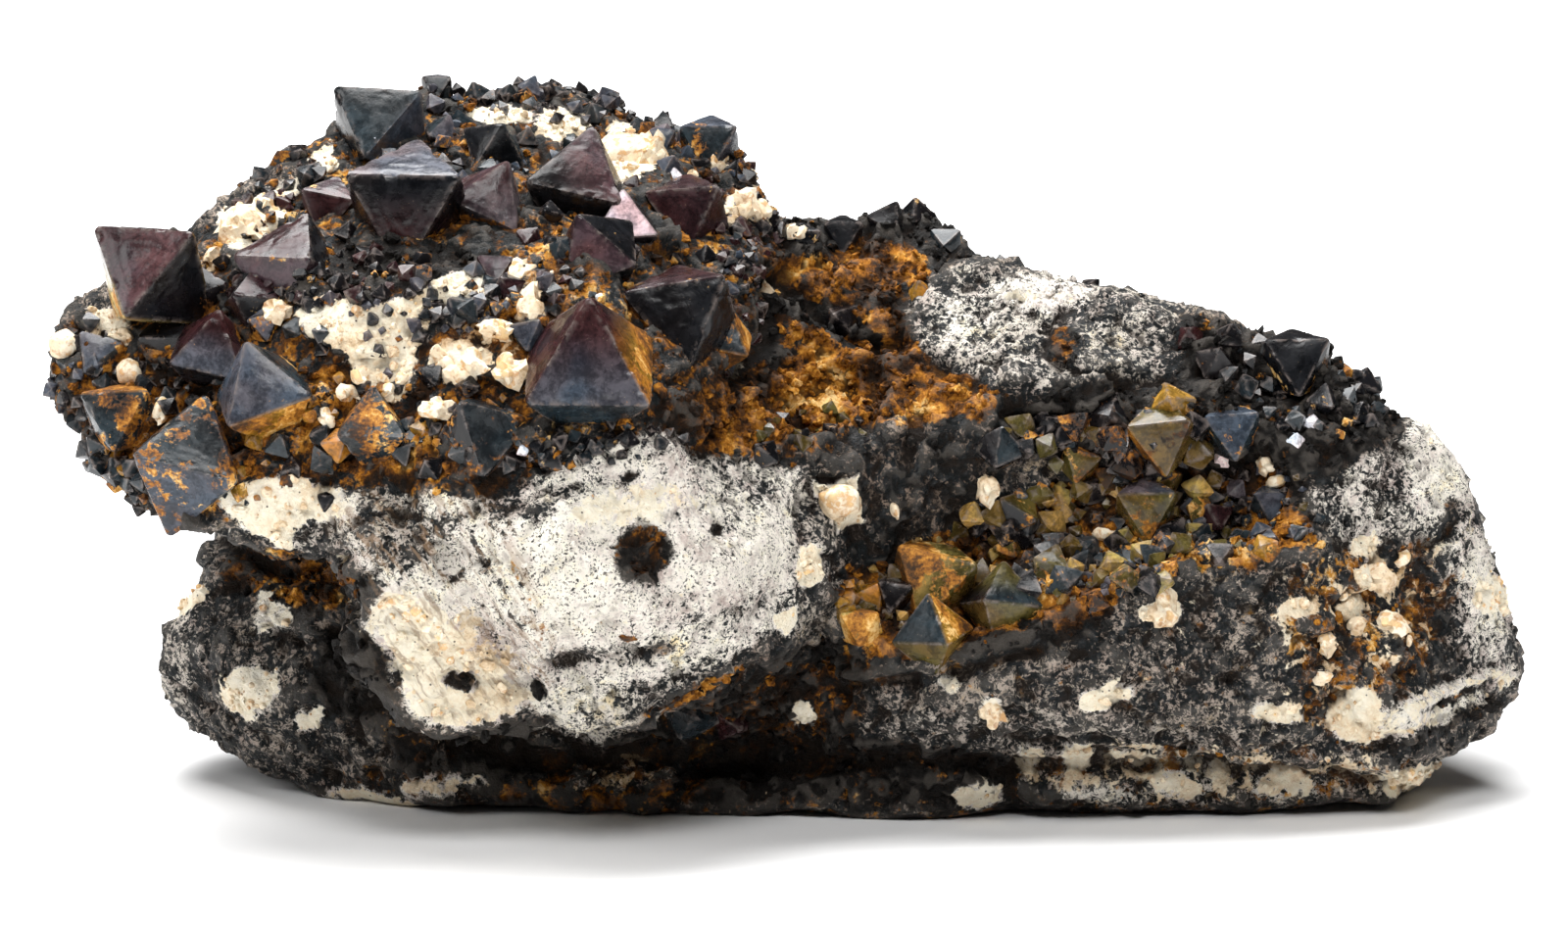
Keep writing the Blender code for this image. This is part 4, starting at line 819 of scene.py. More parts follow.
def face_tint_of(lattice, looks):
    """Colour at each point of a crystal: the seen face's, those across from its corners, or the rest's."""
    front, *sides, _ = looks
    rest = np.mean(sides, axis=0)
    signs = np.sign(lattice)
    colours = np.zeros((len(lattice), 3))
    shares = np.zeros(len(lattice))
    for pattern in itertools.product((1, -1), repeat=3):
        flipped = [axis for axis in range(3) if pattern[axis] < 0]
        if not flipped:
            colour = front
        elif len(flipped) == 1:
            colour = sides[flipped[0]]
        else:
            colour = rest
        on_face = np.all(signs * pattern >= 0, axis=1)
        colours[on_face] += colour
        shares += on_face
    return colours / shares[:, None]


def crystal_groups(places):
    """For each CAD node, the crystals whose surface lies on it."""
    lattice, _ = octahedron_lattice(TOUCHING_CUTS)
    nodes = [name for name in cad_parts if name.startswith(CRYSTAL_NODES)]
    nodes = {name: tree_of(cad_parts[name].data) for name in nodes}
    groups = {name: [] for name in nodes}
    for name, (middle, axes, _) in places.items():
        if CRYSTAL_NODES + name in nodes:
            groups[CRYSTAL_NODES + name].append(name)
            continue
        points = middle + lattice @ axes.T
        touching = {
            node: sum(tree.find_nearest(Vector(point), TOUCHING)[0] is not None for point in points)
            for node, tree in nodes.items()
        }
        groups[max(touching, key=touching.get)].append(name)
    return groups


def big_crystal(name, place, rock_tree):
    """Points, triangles, colours (tarnish and painted reflection), rust and edges of one of the big crystals.
    """
    middle, axes, half = place
    looks = CRYSTALS[name][-1]
    lattice, triangles = octahedron_lattice(int(np.clip(round(half * CUTS_PER_MM), *CUTS_RANGE)))
    seed = CRYSTAL_SEED + CRYSTAL_SEED_GAP * list(CRYSTALS).index(name)
    surface, edge = worn_octahedron(lattice, middle, axes, half, seed)
    reach = np.array([rock_tree.find_nearest(Vector(point))[3] for point in surface])
    coated = rough_noise(surface, 1.7, seed + 3, 3)
    tint = face_tint_of(lattice, looks)
    if name in FADING:
        axis, second = FADING[name]
        tint += step(0.1, 0.75, lattice[:, axis])[:, None] * (np.array(second) - tint)
    rust = looks[-1] + 0.55 * np.exp(-reach / RUST_REACH) + 0.25 * coated
    rust += 0.45 * step(0.15, 0.3, tint[:, 0] - tint[:, 2])
    return surface, triangles, tint, rust, edge


def crystal_piece(name, parts, material, *nodes):
    """One piece of crystals, each given by its points, triangles, colours (tarnish, on some painted
    reflection), rust and edges.
    """
    points, faces, tints, rusts, edges = zip(*parts)
    starts = np.cumsum([0] + [len(part) for part in points[:-1]])
    faces = np.concatenate([part + start for part, start in zip(faces, starts)])
    piece = mesh_object(name, np.concatenate(points), faces)
    piece.data.set_sharp_from_angle(angle=SHARP_ANGLE)
    set_colour(piece.data, "tint", np.concatenate(tints))
    set_number(piece.data, "rust", np.clip(np.concatenate(rusts), 0, 1))
    set_number(piece.data, "edge", np.concatenate(edges))
    finish_piece(piece, material, "magnetite", *nodes)


def make_crystals(places, rock_tree, material):
    """One piece for each CAD node of big crystals."""
    for node, names in crystal_groups(places).items():
        parts = [big_crystal(name, places[name], rock_tree) for name in names]
        crystal_piece("crystals_" + node.removeprefix(CRYSTAL_NODES), parts, material, node)


# The rock

def rock_masks(points, shown):
    """Paleness of the grains, rust, feldspar and darkness at each point, one column each."""
    values = np.tile(np.array(HIDDEN_GROUND), (len(points), 1))
    values[:, 0] += 0.25 * rough_noise(points, 14.0, 3, 3)
    values[:, 1] += 0.45 * step(0.25, 0.7, rough_noise(points, 6.0, 5, 3))
    values[:, 2] += 0.7 * step(0.5, 0.75, rough_noise(points, 4.5, 8, 3))
    places = pixels_of(points)
    ragged = RAGGED * np.stack([rough_noise(points, 1.9, seed, 4, 0.65) for seed in (60, 70)], axis=1)
    drawn = np.tile(np.array(SEEN_GROUND), (len(points), 1))
    for outline, softness, worth in PATCHES:
        share = step(-softness, softness, inside_by(places + ragged * min(1.0, softness / 5), outline))
        drawn += share[:, None] * (np.array(worth) - drawn)
    return values + shown[:, None] * (drawn - values)


def displaced_rock(points, normals, masks, shown):
    """The rock's points moved along their normals by its lumps, crumbs and fracture."""
    pale, rust, cream, _ = masks.T
    height = ROCK_SWELL + 0.3 * rough_noise(points, 5.0, 11, 4)
    smooth = 1 - 0.65 * np.clip(pale, 0, 1)
    for share, size, seed in FRACTURE:
        height += share * broken_faces(points, size, seed) * smooth
    _, first, numbers = crumbs(points, 1.4, 31)
    height += 0.24 * rust * (0.45 - first) * (0.3 + numbers[:, 0])
    height += 0.2 * step(0.3, 0.7, cream) * (0.5 + 0.6 * rough_noise(points, 1.2, 41, 3))
    height += 0.10 * rough_noise(points, 0.7, 51, 2)
    places = pixels_of(points)
    along = points - 0.85 * (points @ FIBRE_WAY)[:, None] * FIBRE_WAY
    height += 0.3 * shown * step(-30, 10, inside_by(places, SHELL)) * rough_noise(along, 1.0, 57, 3)
    for line, half_width, rise in STROKES:
        width = half_width * (1 + 0.3 * rough_noise(points, 2.5, 81, 2))
        height += shown * rise * np.exp(-((from_line(places, line) / width) ** 2))
    line, half_width, depth = RIDGE_DENT
    height -= depth * np.exp(-((from_line(places, line) / half_width) ** 2))
    return points + normals * height[:, None]


def ground_faded(before, after):
    """The moved points, with the underside left flat."""
    share = step(0.05, GROUND_FADE, before[:, 2])[:, None]
    after = before + (after - before) * share
    after[:, 2] = np.maximum(after[:, 2], 0.0)
    return after


def make_rock(rock_tree, material):
    rock = voxel_copy("matrix_rock", "rock_surface", ROCK_VOXEL)
    points = points_of(rock.data)
    shown = blurred(in_sight(points, rock_tree, SIGHT_SLACK), edges_of(rock.data), 4)
    masks = rock_masks(points, shown)
    moved = ground_faded(points, displaced_rock(points, normals_of(rock.data), masks, shown))
    set_points(rock.data, moved)
    group = rock.vertex_groups.new(name="unseen")
    for index in np.flatnonzero(shown < 0.5).tolist():
        group.add([index], 1.0, "REPLACE")
    reduce = rock.modifiers.new("reduce", "DECIMATE")
    reduce.use_collapse_triangulate = True
    reduce.vertex_group = "unseen"
    reduce.vertex_group_factor = 1.0
    reduce.ratio = min(1.0, ROCK_TRIANGLES / len(triangles_of(rock.data)))
    apply_modifiers(rock)
    rock.vertex_groups.clear()
    rock.data.shade_smooth()
    masks, skin = paint_rock(rock.data, rock_tree)
    finish_piece(rock, material, "rock", "matrix_rock")
    return masks, skin


def paint_rock(mesh, rock_tree):
    """Sets what the rock's material reads, and returns its four values with the points, normals and sight."""
    points = points_of(mesh)
    edges = edges_of(mesh)
    shown = blurred(in_sight(points, rock_tree, SKIN_SLACK), edges, 2)
    masks = rock_masks(points, shown)
    hollow = ((blurred(points, edges, HOLLOW_ROUNDS) - points) * normals_of(mesh)).sum(axis=1)
    for column, name in enumerate(MASK_NAMES):
        set_number(mesh, name, np.clip(masks[:, column], 0, 1))
    set_number(mesh, "hollow", np.clip(hollow / HOLLOW_DEPTH, -1, 1))
    set_number(mesh, "fibre", shown * step(-25, 15, inside_by(pixels_of(points), SHELL)))
    return masks, (points, normals_of(mesh), shown)


# Small pieces

def random_turns(rng, count):
    """Rotation matrices, evenly spread over all directions."""
    turns = rng.normal(size=(count, 4))
    turns /= np.linalg.norm(turns, axis=1)[:, None]
    w, x, y, z = turns.T
    return np.stack([
        np.stack([1 - 2 * (y * y + z * z), 2 * (x * y - z * w), 2 * (x * z + y * w)], axis=1),
        np.stack([2 * (x * y + z * w), 1 - 2 * (x * x + z * z), 2 * (y * z - x * w)], axis=1),
        np.stack([2 * (x * z - y * w), 2 * (y * z + x * w), 1 - 2 * (x * x + y * y)], axis=1),
    ], axis=1)


def scatter(rng, places, weight, count, gap):
    """Indices of about count places picked by weight, none nearer than its gap to another."""
    tries = min(count * 3, int((weight > 0).sum()))
    order = rng.choice(len(places), size=tries, replace=False, p=weight / weight.sum())
    taken = {}
    picked = []
    for index in order.tolist():
        if len(picked) == count:
            break
        cell = tuple(np.floor(places[index] / gap).astype(int).tolist())
        near = [taken.get((cell[0] + a, cell[1] + b, cell[2] + c)) for a, b, c in NEAR_CELLS]
        if any(other is not None and np.linalg.norm(places[index] - places[other]) < gap for other in near):
            continue
        taken[cell] = index
        picked.append(index)
    return np.array(picked, int)


def copies(template, faces, middles, turns, sizes):
    """One set of points and triangles from turned and stretched copies of a template."""
    points = np.einsum("nij,nvj->nvi", turns, template[None] * sizes[:, None]) + middles[:, None]
    shift = np.arange(len(middles)) * template.shape[0]
    return points.reshape(-1, 3), (faces[None] + shift[:, None, None]).reshape(-1, 3)


# Where small crystals stand: outline in the photograph, how many, least and greatest half size, and tarnish.
SMALL_CRYSTALS = (
    (oval(285, 200, 60, 35, -30), 60, (0.3, 0.9), (BLACK, MAROON, SLATE)),
    (oval(330, 285, 110, 30, -8), 80, (0.3, 1), (BLACK, SLATE, BLACK, MAROON)),
    (oval(440, 320, 90, 26, -8), 34, (0.3, 0.85), (BLACK, SLATE, BLUE)),
    (oval(480, 160, 90, 50), 50, (0.3, 0.9), (BLACK, SLATE, BLUE, GREY)),
    (oval(540, 96, 110, 18, 4), 60, (0.3, 0.9), (BLACK, SLATE, BLUE)),
    (oval(650, 128, 90, 22, 6), 46, (0.3, 1), (BLACK, SLATE, BLUE)),
    (oval(760, 210, 36, 80), 60, (0.3, 0.8), (BLACK, MAROON, BLUE, MAUVE)),
    (oval(750, 300, 30, 60), 36, (0.3, 0.8), (BLACK, SLATE, MAROON)),
    (oval(540, 300, 70, 40), 36, (0.3, 0.8), (BLACK, MAROON, BLUE, SLATE)),
    (oval(590, 455, 110, 22, -4), 60, (0.3, 0.8), (BLACK, BLACK, SLATE)),
    (oval(90, 380, 40, 55), 34, (0.3, 0.9), (BLACK, SLATE, BLUE)),
    (oval(190, 440, 120, 70, 20), 60, (0.3, 0.9), (BLACK, SLATE, OCHRE)),
    (oval(400, 420, 130, 40), 50, (0.3, 0.9), (BLACK, SLATE, OCHRE)),
    (oval(130, 490, 60, 22, 28), 30, (0.4, 0.9), (BLACK, SLATE)),
    (oval(1110, 550, 170, 66, -10), 170, (0.35, 1.35), (OLIVE, SLATE, OLIVE, YELLOW, BLACK)),
    (oval(1150, 580, 60, 26, -8), 50, (0.25, 0.6), (BLUE, SLATE, GREY)),
    (oval(1280, 520, 70, 45), 50, (0.3, 0.9), (SLATE, BLUE, OLIVE, BLACK)),
    (oval(900, 620, 50, 40), 24, (0.4, 1), (OLIVE, YELLOW, OCHRE)),
    (oval(1130, 450, 110, 30), 60, (0.5, 1.5), (OLIVE, BLACK, BLACK, SLATE)),
    (oval(1330, 400, 90, 45, 20), 50, (0.3, 1), (BLACK, SLATE)),
    (oval(830, 440, 60, 20), 16, (0.4, 1), (BLACK, OLIVE)),
)
# The same on the sides that the photograph doesn't show, above a height.
HIDDEN_CRYSTALS = (130, (0.3, 1.1), (BLACK, SLATE, BLUE, MAROON))
HIDDEN_ABOVE = 22.0
SMALL_CUTS = 4
SEEN_CUTS = 8
# Least distances between scattered small pieces, and between those on the hidden sides.
SMALL_GAP = 0.8
HIDDEN_GAP = 1.0
CRUMB_GAP = 0.3


def small_crystal_lists(rng, rock):
    """Place, half size and tarnish of each small crystal."""
    points, _, shown = rock
    pixels = pixels_of(points)
    found = []
    for outline, count, sizes, colours in SMALL_CRYSTALS:
        weight = (inside_by(pixels, outline) > 0) * (shown > 0.5)
        if weight.sum() > count * 3:
            found.append((scatter(rng, points, weight.astype(float), count, SMALL_GAP), sizes, colours))
    count, sizes, colours = HIDDEN_CRYSTALS
    weight = (shown < 0.3) * (points[:, 2] > HIDDEN_ABOVE) * (rough_noise(points, 9.0, 15, 2) > 0.1)
    found.append((scatter(rng, points, weight.astype(float), count, HIDDEN_GAP), sizes, colours))
    return found


def make_small_crystals(rng, rock, material):
    points, normals, _ = rock
    middles, halves, tints = [], [], []
    for picked, (least, greatest), colours in small_crystal_lists(rng, rock):
        half = least + 1.25 * (greatest - least) * rng.random(len(picked)) ** 1.8
        rise = half * rng.uniform(-0.1, 0.45, len(picked))
        middles.append(points[picked] + normals[picked] * rise[:, None])
        halves.append(half)
        tints.append(np.array(colours)[rng.integers(0, len(colours), len(picked))])
    middles, halves, tints = np.concatenate(middles), np.concatenate(halves), np.concatenate(tints)
    lattice, faces = octahedron_lattice(SMALL_CUTS)
    ordered = np.sort(np.abs(lattice), axis=1)
    template = lattice * (1 - 0.03 * (ordered[:, 0] == 0) - 0.06 * (ordered[:, 1] == 0))[:, None]
    turns = random_turns(rng, len(halves))
    sizes = halves[:, None] * rng.uniform(0.85, 1.15, (len(halves), 3))
    surface, triangles = copies(template, faces, middles, turns, sizes)
    surface += 0.035 * np.stack([rough_noise(surface, 0.6, 200 + axis, 2) for axis in range(3)], axis=1)
    each = len(template)
    tint = np.repeat(tints, each, axis=0)
    rust = np.repeat(rng.random(len(halves)) ** 3 * 0.6, each)
    edge = np.tile((ordered[:, 0] == 0).astype(float), len(halves))
    crystal_piece("small_crystals", [(surface, triangles, tint, rust, edge)], material)


def on_rock(x, y, skin_tree):
    """Where the rock's surface shows at a place in the photograph, or None beside it."""
    direction = Vector(sight((x - PICTURE_X) * PIXEL, (PICTURE_Y - y) * PIXEL)).normalized()
    return skin_tree.ray_cast(Vector(EYE), direction)[0]


def make_seen_crystals(rng, skin_tree, material):
    parts = []
    for number, (x, y, half, tint) in enumerate(SEEN_CRYSTALS):
        axes = random_turns(rng, 1)[0] * half
        place = on_rock(x, y, skin_tree)
        if place is None:
            continue
        lattice, triangles = octahedron_lattice(SEEN_CUTS)
        middle = np.array(place) + FORWARD * half * SEEN_SINK
        surface, edge = worn_octahedron(lattice, middle, axes, half, SEEN_SEED + number)
        rust = 0.12 + 0.3 * rough_noise(surface, 1.7, 17, 3)
        parts.append((surface, triangles, np.tile(np.array(tint), (len(surface), 1)), rust, edge))
    crystal_piece("seen_crystals", parts, material)


def make_seen_chunks(rng, skin_tree, material):
    template, faces = crumb_template(3)
    found = [(on_rock(x, y, skin_tree), half) for x, y, half in SEEN_CHUNKS]
    middles = np.array([place for place, _ in found if place is not None])
    halves = np.array([half for place, half in found if place is not None])
    sizes = halves[:, None] * rng.uniform(0.6, 1.25, (len(halves), 3))
    surface, triangles = copies(template, faces, middles, random_turns(rng, len(halves)), sizes)
    around = surface - np.repeat(middles, len(template), axis=0)
    broken = 0.42 * broken_faces(surface, 1.1, 331) + 0.1 * rough_noise(surface, 0.5, 337, 3)
    surface += around * broken[:, None]
    piece = mesh_object("feldspar_chunks", surface, triangles)
    piece.data.set_sharp_from_angle(angle=SHARP_ANGLE)
    finish_piece(piece, material, "feldspar")


def crumb_template(subdivisions):
    """Points and triangles of a ball of radius 1."""
    bm = bmesh.new()
    bmesh.ops.create_icosphere(bm, subdivisions=subdivisions, radius=1.0)
    template = np.array([vert.co for vert in bm.verts])
    faces = np.array([[vert.index for vert in face.verts] for face in bm.faces])
    bm.free()
    return template, faces


def make_grains(material):
    for node in sorted(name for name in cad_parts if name.startswith("feldspar")):
        grain = voxel_copy(node, "grain_" + node.removeprefix("feldspar_"), GRAIN_VOXEL)
        points = points_of(grain.data)
        height = GRAIN_SWELL + 0.16 * rough_noise(points, 1.1, 91, 4)
        set_points(grain.data, points + normals_of(grain.data) * height[:, None])
        grain.data.shade_smooth()
        finish_piece(grain, material, "feldspar", node)


# Crumbs on the rock: which of its four values draws them, how many, least and greatest radius, roughness
# and slot.
CRUMBS = {
    "rust_crumbs": (1, 1900, (0.10, 0.42), 0.5, "rock"),
    "feldspar_crumbs": (2, 620, (0.1, 0.42), 0.35, "feldspar"),
    "dark_crumbs": (3, 1100, (0.12, 0.5), 0.6, "rock"),
    "pale_crumbs": (0, 900, (0.08, 0.3), 0.6, "rock"),
}
# No crumb stands lower than this.
CRUMBS_ABOVE = 1.5


def make_crumbs(rng, rock, masks, materials):
    points, normals, shown = rock
    template, faces = crumb_template(2)
    for name, (column, count, (least, greatest), roughness, slot) in CRUMBS.items():
        weight = np.clip(masks[:, column] - 0.25, 0, 1) ** 2 * (0.25 + shown) * (points[:, 2] > CRUMBS_ABOVE)
        picked = scatter(rng, points, weight, count, CRUMB_GAP)
        radius = least + (greatest - least) * rng.random(len(picked)) ** 2.5
        sizes = radius[:, None] * rng.uniform(0.65, 1.3, (len(picked), 3))
        middles = points[picked] + normals[picked] * (radius * rng.uniform(-0.3, 0.5, len(picked)))[:, None]
        surface, triangles = copies(template, faces, middles, random_turns(rng, len(picked)), sizes)
        around = surface - np.repeat(middles, len(template), axis=0)
        surface += around * roughness * broken_faces(surface, 0.4, CRUMB_SEED + column)[:, None]
        piece = mesh_object(name, surface, triangles)
        piece.data.set_sharp_from_angle(angle=SHARP_ANGLE)
        values = np.clip(masks[picked], 0, 1)
        if column:
            values[:, column] = 1.0
        for number, attribute in enumerate(MASK_NAMES):
            set_number(piece.data, attribute, np.repeat(values[:, number], len(template)))
        set_number(piece.data, "hollow", np.zeros(len(surface)))
        finish_piece(piece, materials[slot], slot)


# Materials

class Graph:
    """Shader nodes of one material, made and joined in short calls."""

    def __init__(self, name):
        self.material = bpy.data.materials.new(name)
        self.material.use_nodes = True
        self.nodes = self.material.node_tree.nodes
        self.links = self.material.node_tree.links
        self.shader = self.nodes["Principled BSDF"]
        self.place = self.scaled(self.add("ShaderNodeTexCoord").outputs["Object"], 1 / MM)

    def put(self, value, socket):
        if isinstance(value, bpy.types.NodeSocket):
            self.links.new(value, socket)
        else:
            socket.default_value = value

    def add(self, kind, inputs=None, **settings):
        """A new node with its settings. Each input is joined to a socket or set to a value."""
        node = self.nodes.new(kind)
        for name, setting in settings.items():
            setattr(node, name, setting)
        for socket, value in (inputs or {}).items():
            self.put(value, node.inputs[socket])
        return node

    def attribute(self, name, output="Fac"):
        return self.add("ShaderNodeAttribute", attribute_name=name).outputs[output]

    def squashed(self, way, share):
        """The place with its part along one way made that much shorter, which draws noise out along it."""
        inputs = {0: self.place, 1: way}
        along = self.add("ShaderNodeVectorMath", inputs, operation="DOT_PRODUCT").outputs["Value"]
        inputs[1] = self.scaled(way, self.times(along, share))
        return self.add("ShaderNodeVectorMath", inputs, operation="SUBTRACT").outputs[0]

    def scaled(self, vector, scale):
        return self.add("ShaderNodeVectorMath", {0: vector, "Scale": scale}, operation="SCALE").outputs[0]

    def stirred(self, value, *noises):
        """A value with noises added around their middle, each by its weight."""
        for noise, weight in noises:
            value = self.math("ADD", value, self.times(self.math("SUBTRACT", noise, 0.5), weight))
        return value

    def noise(self, size, detail=4.0, distortion=0.0, roughness=0.6, place=None):
        inputs = {"Vector": place or self.place, "Scale": 1 / size, "Detail": detail}
        inputs |= {"Roughness": roughness, "Distortion": distortion}
        return self.add("ShaderNodeTexNoise", inputs).outputs["Fac"]

    def cells(self, size):
        return self.add("ShaderNodeTexVoronoi", {"Vector": self.place, "Scale": 1 / size}).outputs["Distance"]

    def math(self, operation, first, second):
        return self.add("ShaderNodeMath", {0: first, 1: second}, operation=operation).outputs[0]

    def times(self, first, second):
        return self.math("MULTIPLY", first, second)

    def spread(self, value, low, high, to_low=0.0, to_high=1.0):
        """The value taken from low and high to two others, smoothly."""
        inputs = {"Value": value, "From Min": low, "From Max": high, "To Min": to_low, "To Max": to_high}
        return self.add("ShaderNodeMapRange", inputs, interpolation_type="SMOOTHSTEP").outputs["Result"]

    def mix(self, share, first, second, blend="MIX"):
        first, second = ((*end, 1.0) if isinstance(end, tuple) else end for end in (first, second))
        inputs = {"Factor": share, 6: first, 7: second}
        node = self.add("ShaderNodeMix", inputs, data_type="RGBA", blend_type=blend, clamp_factor=True)
        return node.outputs[2]

    def ramp(self, value, stops):
        node = self.add("ShaderNodeValToRGB", {"Fac": value})
        elements = node.color_ramp.elements
        elements[0].position, elements[0].color = stops[0][0], (*stops[0][1], 1.0)
        elements[1].position, elements[1].color = stops[-1][0], (*stops[-1][1], 1.0)
        for position, colour in stops[1:-1]:
            elements.new(position).color = (*colour, 1.0)
        return node.outputs["Color"]

    def bump(self, height, strength, distance):
        inputs = {"Height": height, "Strength": strength, "Distance": distance * MM}
        self.put(self.add("ShaderNodeBump", inputs).outputs["Normal"], self.shader.inputs["Normal"])

    def finish(self, colour, roughness):
        """The material, with what its shader takes from the nodes."""
        self.put(colour, self.shader.inputs["Base Color"])
        self.put(roughness, self.shader.inputs["Roughness"])
        return self.material


DARK_GRAIN = ((0.0, (0.002, 0.003, 0.003)), (0.4, (0.008, 0.010, 0.011)), (0.7, (0.026, 0.029, 0.031)),
              (1.0, (0.09, 0.085, 0.085)))
PALE_GRAIN = ((0.0, (0.36, 0.28, 0.25)), (0.25, (0.60, 0.51, 0.46)), (0.5, (0.86, 0.80, 0.72)),
              (0.75, (0.93, 0.88, 0.76)), (1.0, (0.90, 0.76, 0.48)))
RUST_RAMP = ((0.0, (0.007, 0.004, 0.002)), (0.25, (0.030, 0.012, 0.004)), (0.42, (0.12, 0.042, 0.006)),
             (0.6, (0.33, 0.120, 0.011)), (0.78, (0.55, 0.25, 0.035)), (1.0, (0.80, 0.54, 0.22)))
CREAM_RAMP = ((0.0, (0.44, 0.27, 0.12)), (0.28, (0.78, 0.62, 0.42)), (0.55, (0.91, 0.82, 0.64)),
              (1.0, (0.97, 0.92, 0.80)))


def rust_colour(graph, broad, middle, fine, dark=0.0):
    start = graph.math("SUBTRACT", 0.55, graph.times(dark, 0.26))
    return graph.ramp(graph.stirred(start, (broad, 2.0), (middle, 1.2), (fine, 1.0)), RUST_RAMP)


def rock_material():
    graph = Graph("rock_matrix")
    pale, rust, cream, dark = (graph.attribute(name) for name in MASK_NAMES)
    hollow = graph.attribute("hollow")
    fibre = graph.attribute("fibre")
    broad = graph.noise(4.4, 2.0, 0.4)
    middle = graph.noise(1.6, 4.0, 0.4)
    other_middle = graph.noise(1.25, 4.0, 0.6)
    fine = graph.noise(0.40, 4.0, 0.6, 0.7)
    other_fine = graph.noise(0.46, 3.0)
    tiny = graph.noise(0.20, 2.0)
    threads = graph.noise(0.55, 3.0, 0.3, 0.6, graph.squashed(FIBRE_WAY, 0.88))

    over = graph.stirred(pale, (broad, 0.5), (middle, 1.3), (fine, 2.1), (tiny, 0.8))
    dark_look = graph.ramp(graph.stirred(0.42, (other_fine, 2.0), (broad, 0.9)), DARK_GRAIN)
    kind = graph.stirred(0.55, (broad, 1.3), (other_middle, 0.8), (other_fine, 0.8))
    pale_look = graph.ramp(kind, PALE_GRAIN)
    pale_look = graph.mix(graph.spread(pale, 0.25, 0.6, 0.93, 0.0), pale_look, (0.20, 0.132, 0.092))
    colour = graph.mix(graph.spread(over, 0.38, 0.66), dark_look, pale_look)
    many = graph.spread(other_middle, 0.38, 0.56, 0.2, 0.95)
    flecks = graph.times(graph.spread(tiny, 0.55, 0.62), many)
    colour = graph.mix(flecks, colour, (0.02, 0.018, 0.018))

    is_cream = graph.spread(graph.stirred(cream, (other_middle, 1.3), (other_fine, 0.5)), 0.42, 0.54)
    tan = graph.math("SUBTRACT", 0.64, graph.times(rust, 0.75))
    cream_look = graph.ramp(graph.stirred(tan, (fine, 1.0), (broad, 1.2)), CREAM_RAMP)
    cream_look = graph.mix(graph.spread(graph.cells(0.8), 0.13, 0.06), cream_look, (0.04, 0.025, 0.015))
    colour = graph.mix(is_cream, colour, cream_look)
    is_thread = graph.times(fibre, graph.spread(threads, 0.50, 0.36, 0.0, 0.62))
    colour = graph.mix(is_thread, colour, (0.30, 0.19, 0.11))

    is_dark = graph.spread(graph.stirred(dark, (other_middle, 1.3)), 0.3, 0.65, 0.0, 0.82)
    black_look = graph.ramp(other_fine, ((0.3, (0.0015, 0.0012, 0.001)), (0.75, (0.016, 0.012, 0.009))))
    colour = graph.mix(graph.times(is_dark, graph.math("SUBTRACT", 1.0, is_cream)), colour, black_look)

    is_rust = graph.spread(graph.stirred(rust, (middle, 1.6), (other_fine, 0.9), (hollow, 0.1)), 0.38, 0.60)
    is_rust = graph.times(is_rust, graph.math("SUBTRACT", 1.0, graph.times(is_cream, 0.7)))
    colour = graph.mix(is_rust, colour, rust_colour(graph, broad, other_middle, fine, dark))

    # Painted shade: darker in the skin's hollows, less so on pale rock; and a little paler where the skin
    # bulges out.
    less = graph.spread(pale, 0.4, 0.9, 1.0, 0.25)
    shadow = graph.times(graph.spread(hollow, 0.1, 0.8, 0.0, 0.8), less)
    colour = graph.mix(shadow, colour, (0.014, 0.009, 0.006))
    colour = graph.mix(graph.spread(hollow, -0.25, -0.9, 0.0, 0.08), colour, (0.5, 0.44, 0.38))

    graph.shader.inputs["Specular IOR Level"].default_value = 0.13
    height = graph.math("ADD", graph.noise(0.8, 5.0, 0.3, 0.75), graph.times(tiny, 0.12))
    graph.bump(height, 0.95, 0.5)
    return graph.finish(colour, graph.stirred(0.62, (other_middle, 0.8), (is_rust, 0.2)))


def magnetite_material():
    graph = Graph("magnetite_crystal")
    tint = graph.attribute("tint", "Color")
    rust = graph.attribute("rust")
    edge = graph.attribute("edge")
    broad = graph.noise(4.5, 2.0)
    cloud = graph.noise(1.7, 4.0, 0.6)
    middle = graph.noise(0.8, 4.0, 0.5, 0.65)
    fine = graph.noise(0.25, 3.0)
    warmth = graph.mix(graph.spread(broad, 0.38, 0.62), (1.12, 0.93, 0.90), (0.88, 1.0, 1.10))
    light = graph.spread(graph.stirred(0.5, (cloud, 1.6), (fine, 0.9)), 0.2, 0.85)
    brightness = graph.mix(light, (0.4, 0.4, 0.42), (1.35, 1.3, 1.3))
    colour = graph.mix(1.0, graph.mix(1.0, tint, warmth, "MULTIPLY"), brightness, "MULTIPLY")
    worn = graph.times(edge, graph.spread(middle, 0.44, 0.60, 0.0, 0.6))
    colour = graph.mix(worn, colour, (0.20, 0.165, 0.15))
    dusty = graph.spread(cloud, 0.45, 0.58, 0.0, 0.6)
    dust = graph.times(graph.spread(graph.cells(0.34), 0.10, 0.05), dusty)
    colour = graph.mix(dust, colour, (0.32, 0.24, 0.16))
    is_rust = graph.spread(graph.stirred(rust, (middle, 1.3), (fine, 0.4)), 0.42, 0.56)
    colour = graph.mix(graph.times(is_rust, 0.94), colour, rust_colour(graph, broad, cloud, fine))
    graph.shader.inputs["Specular IOR Level"].default_value = 0.3
    height = graph.math("ADD", graph.noise(0.5, 3.0, 0.2), graph.times(fine, 0.4))
    graph.bump(height, 0.3, 0.06)
    return graph.finish(colour, graph.stirred(0.46, (cloud, 0.45), (is_rust, 0.4)))


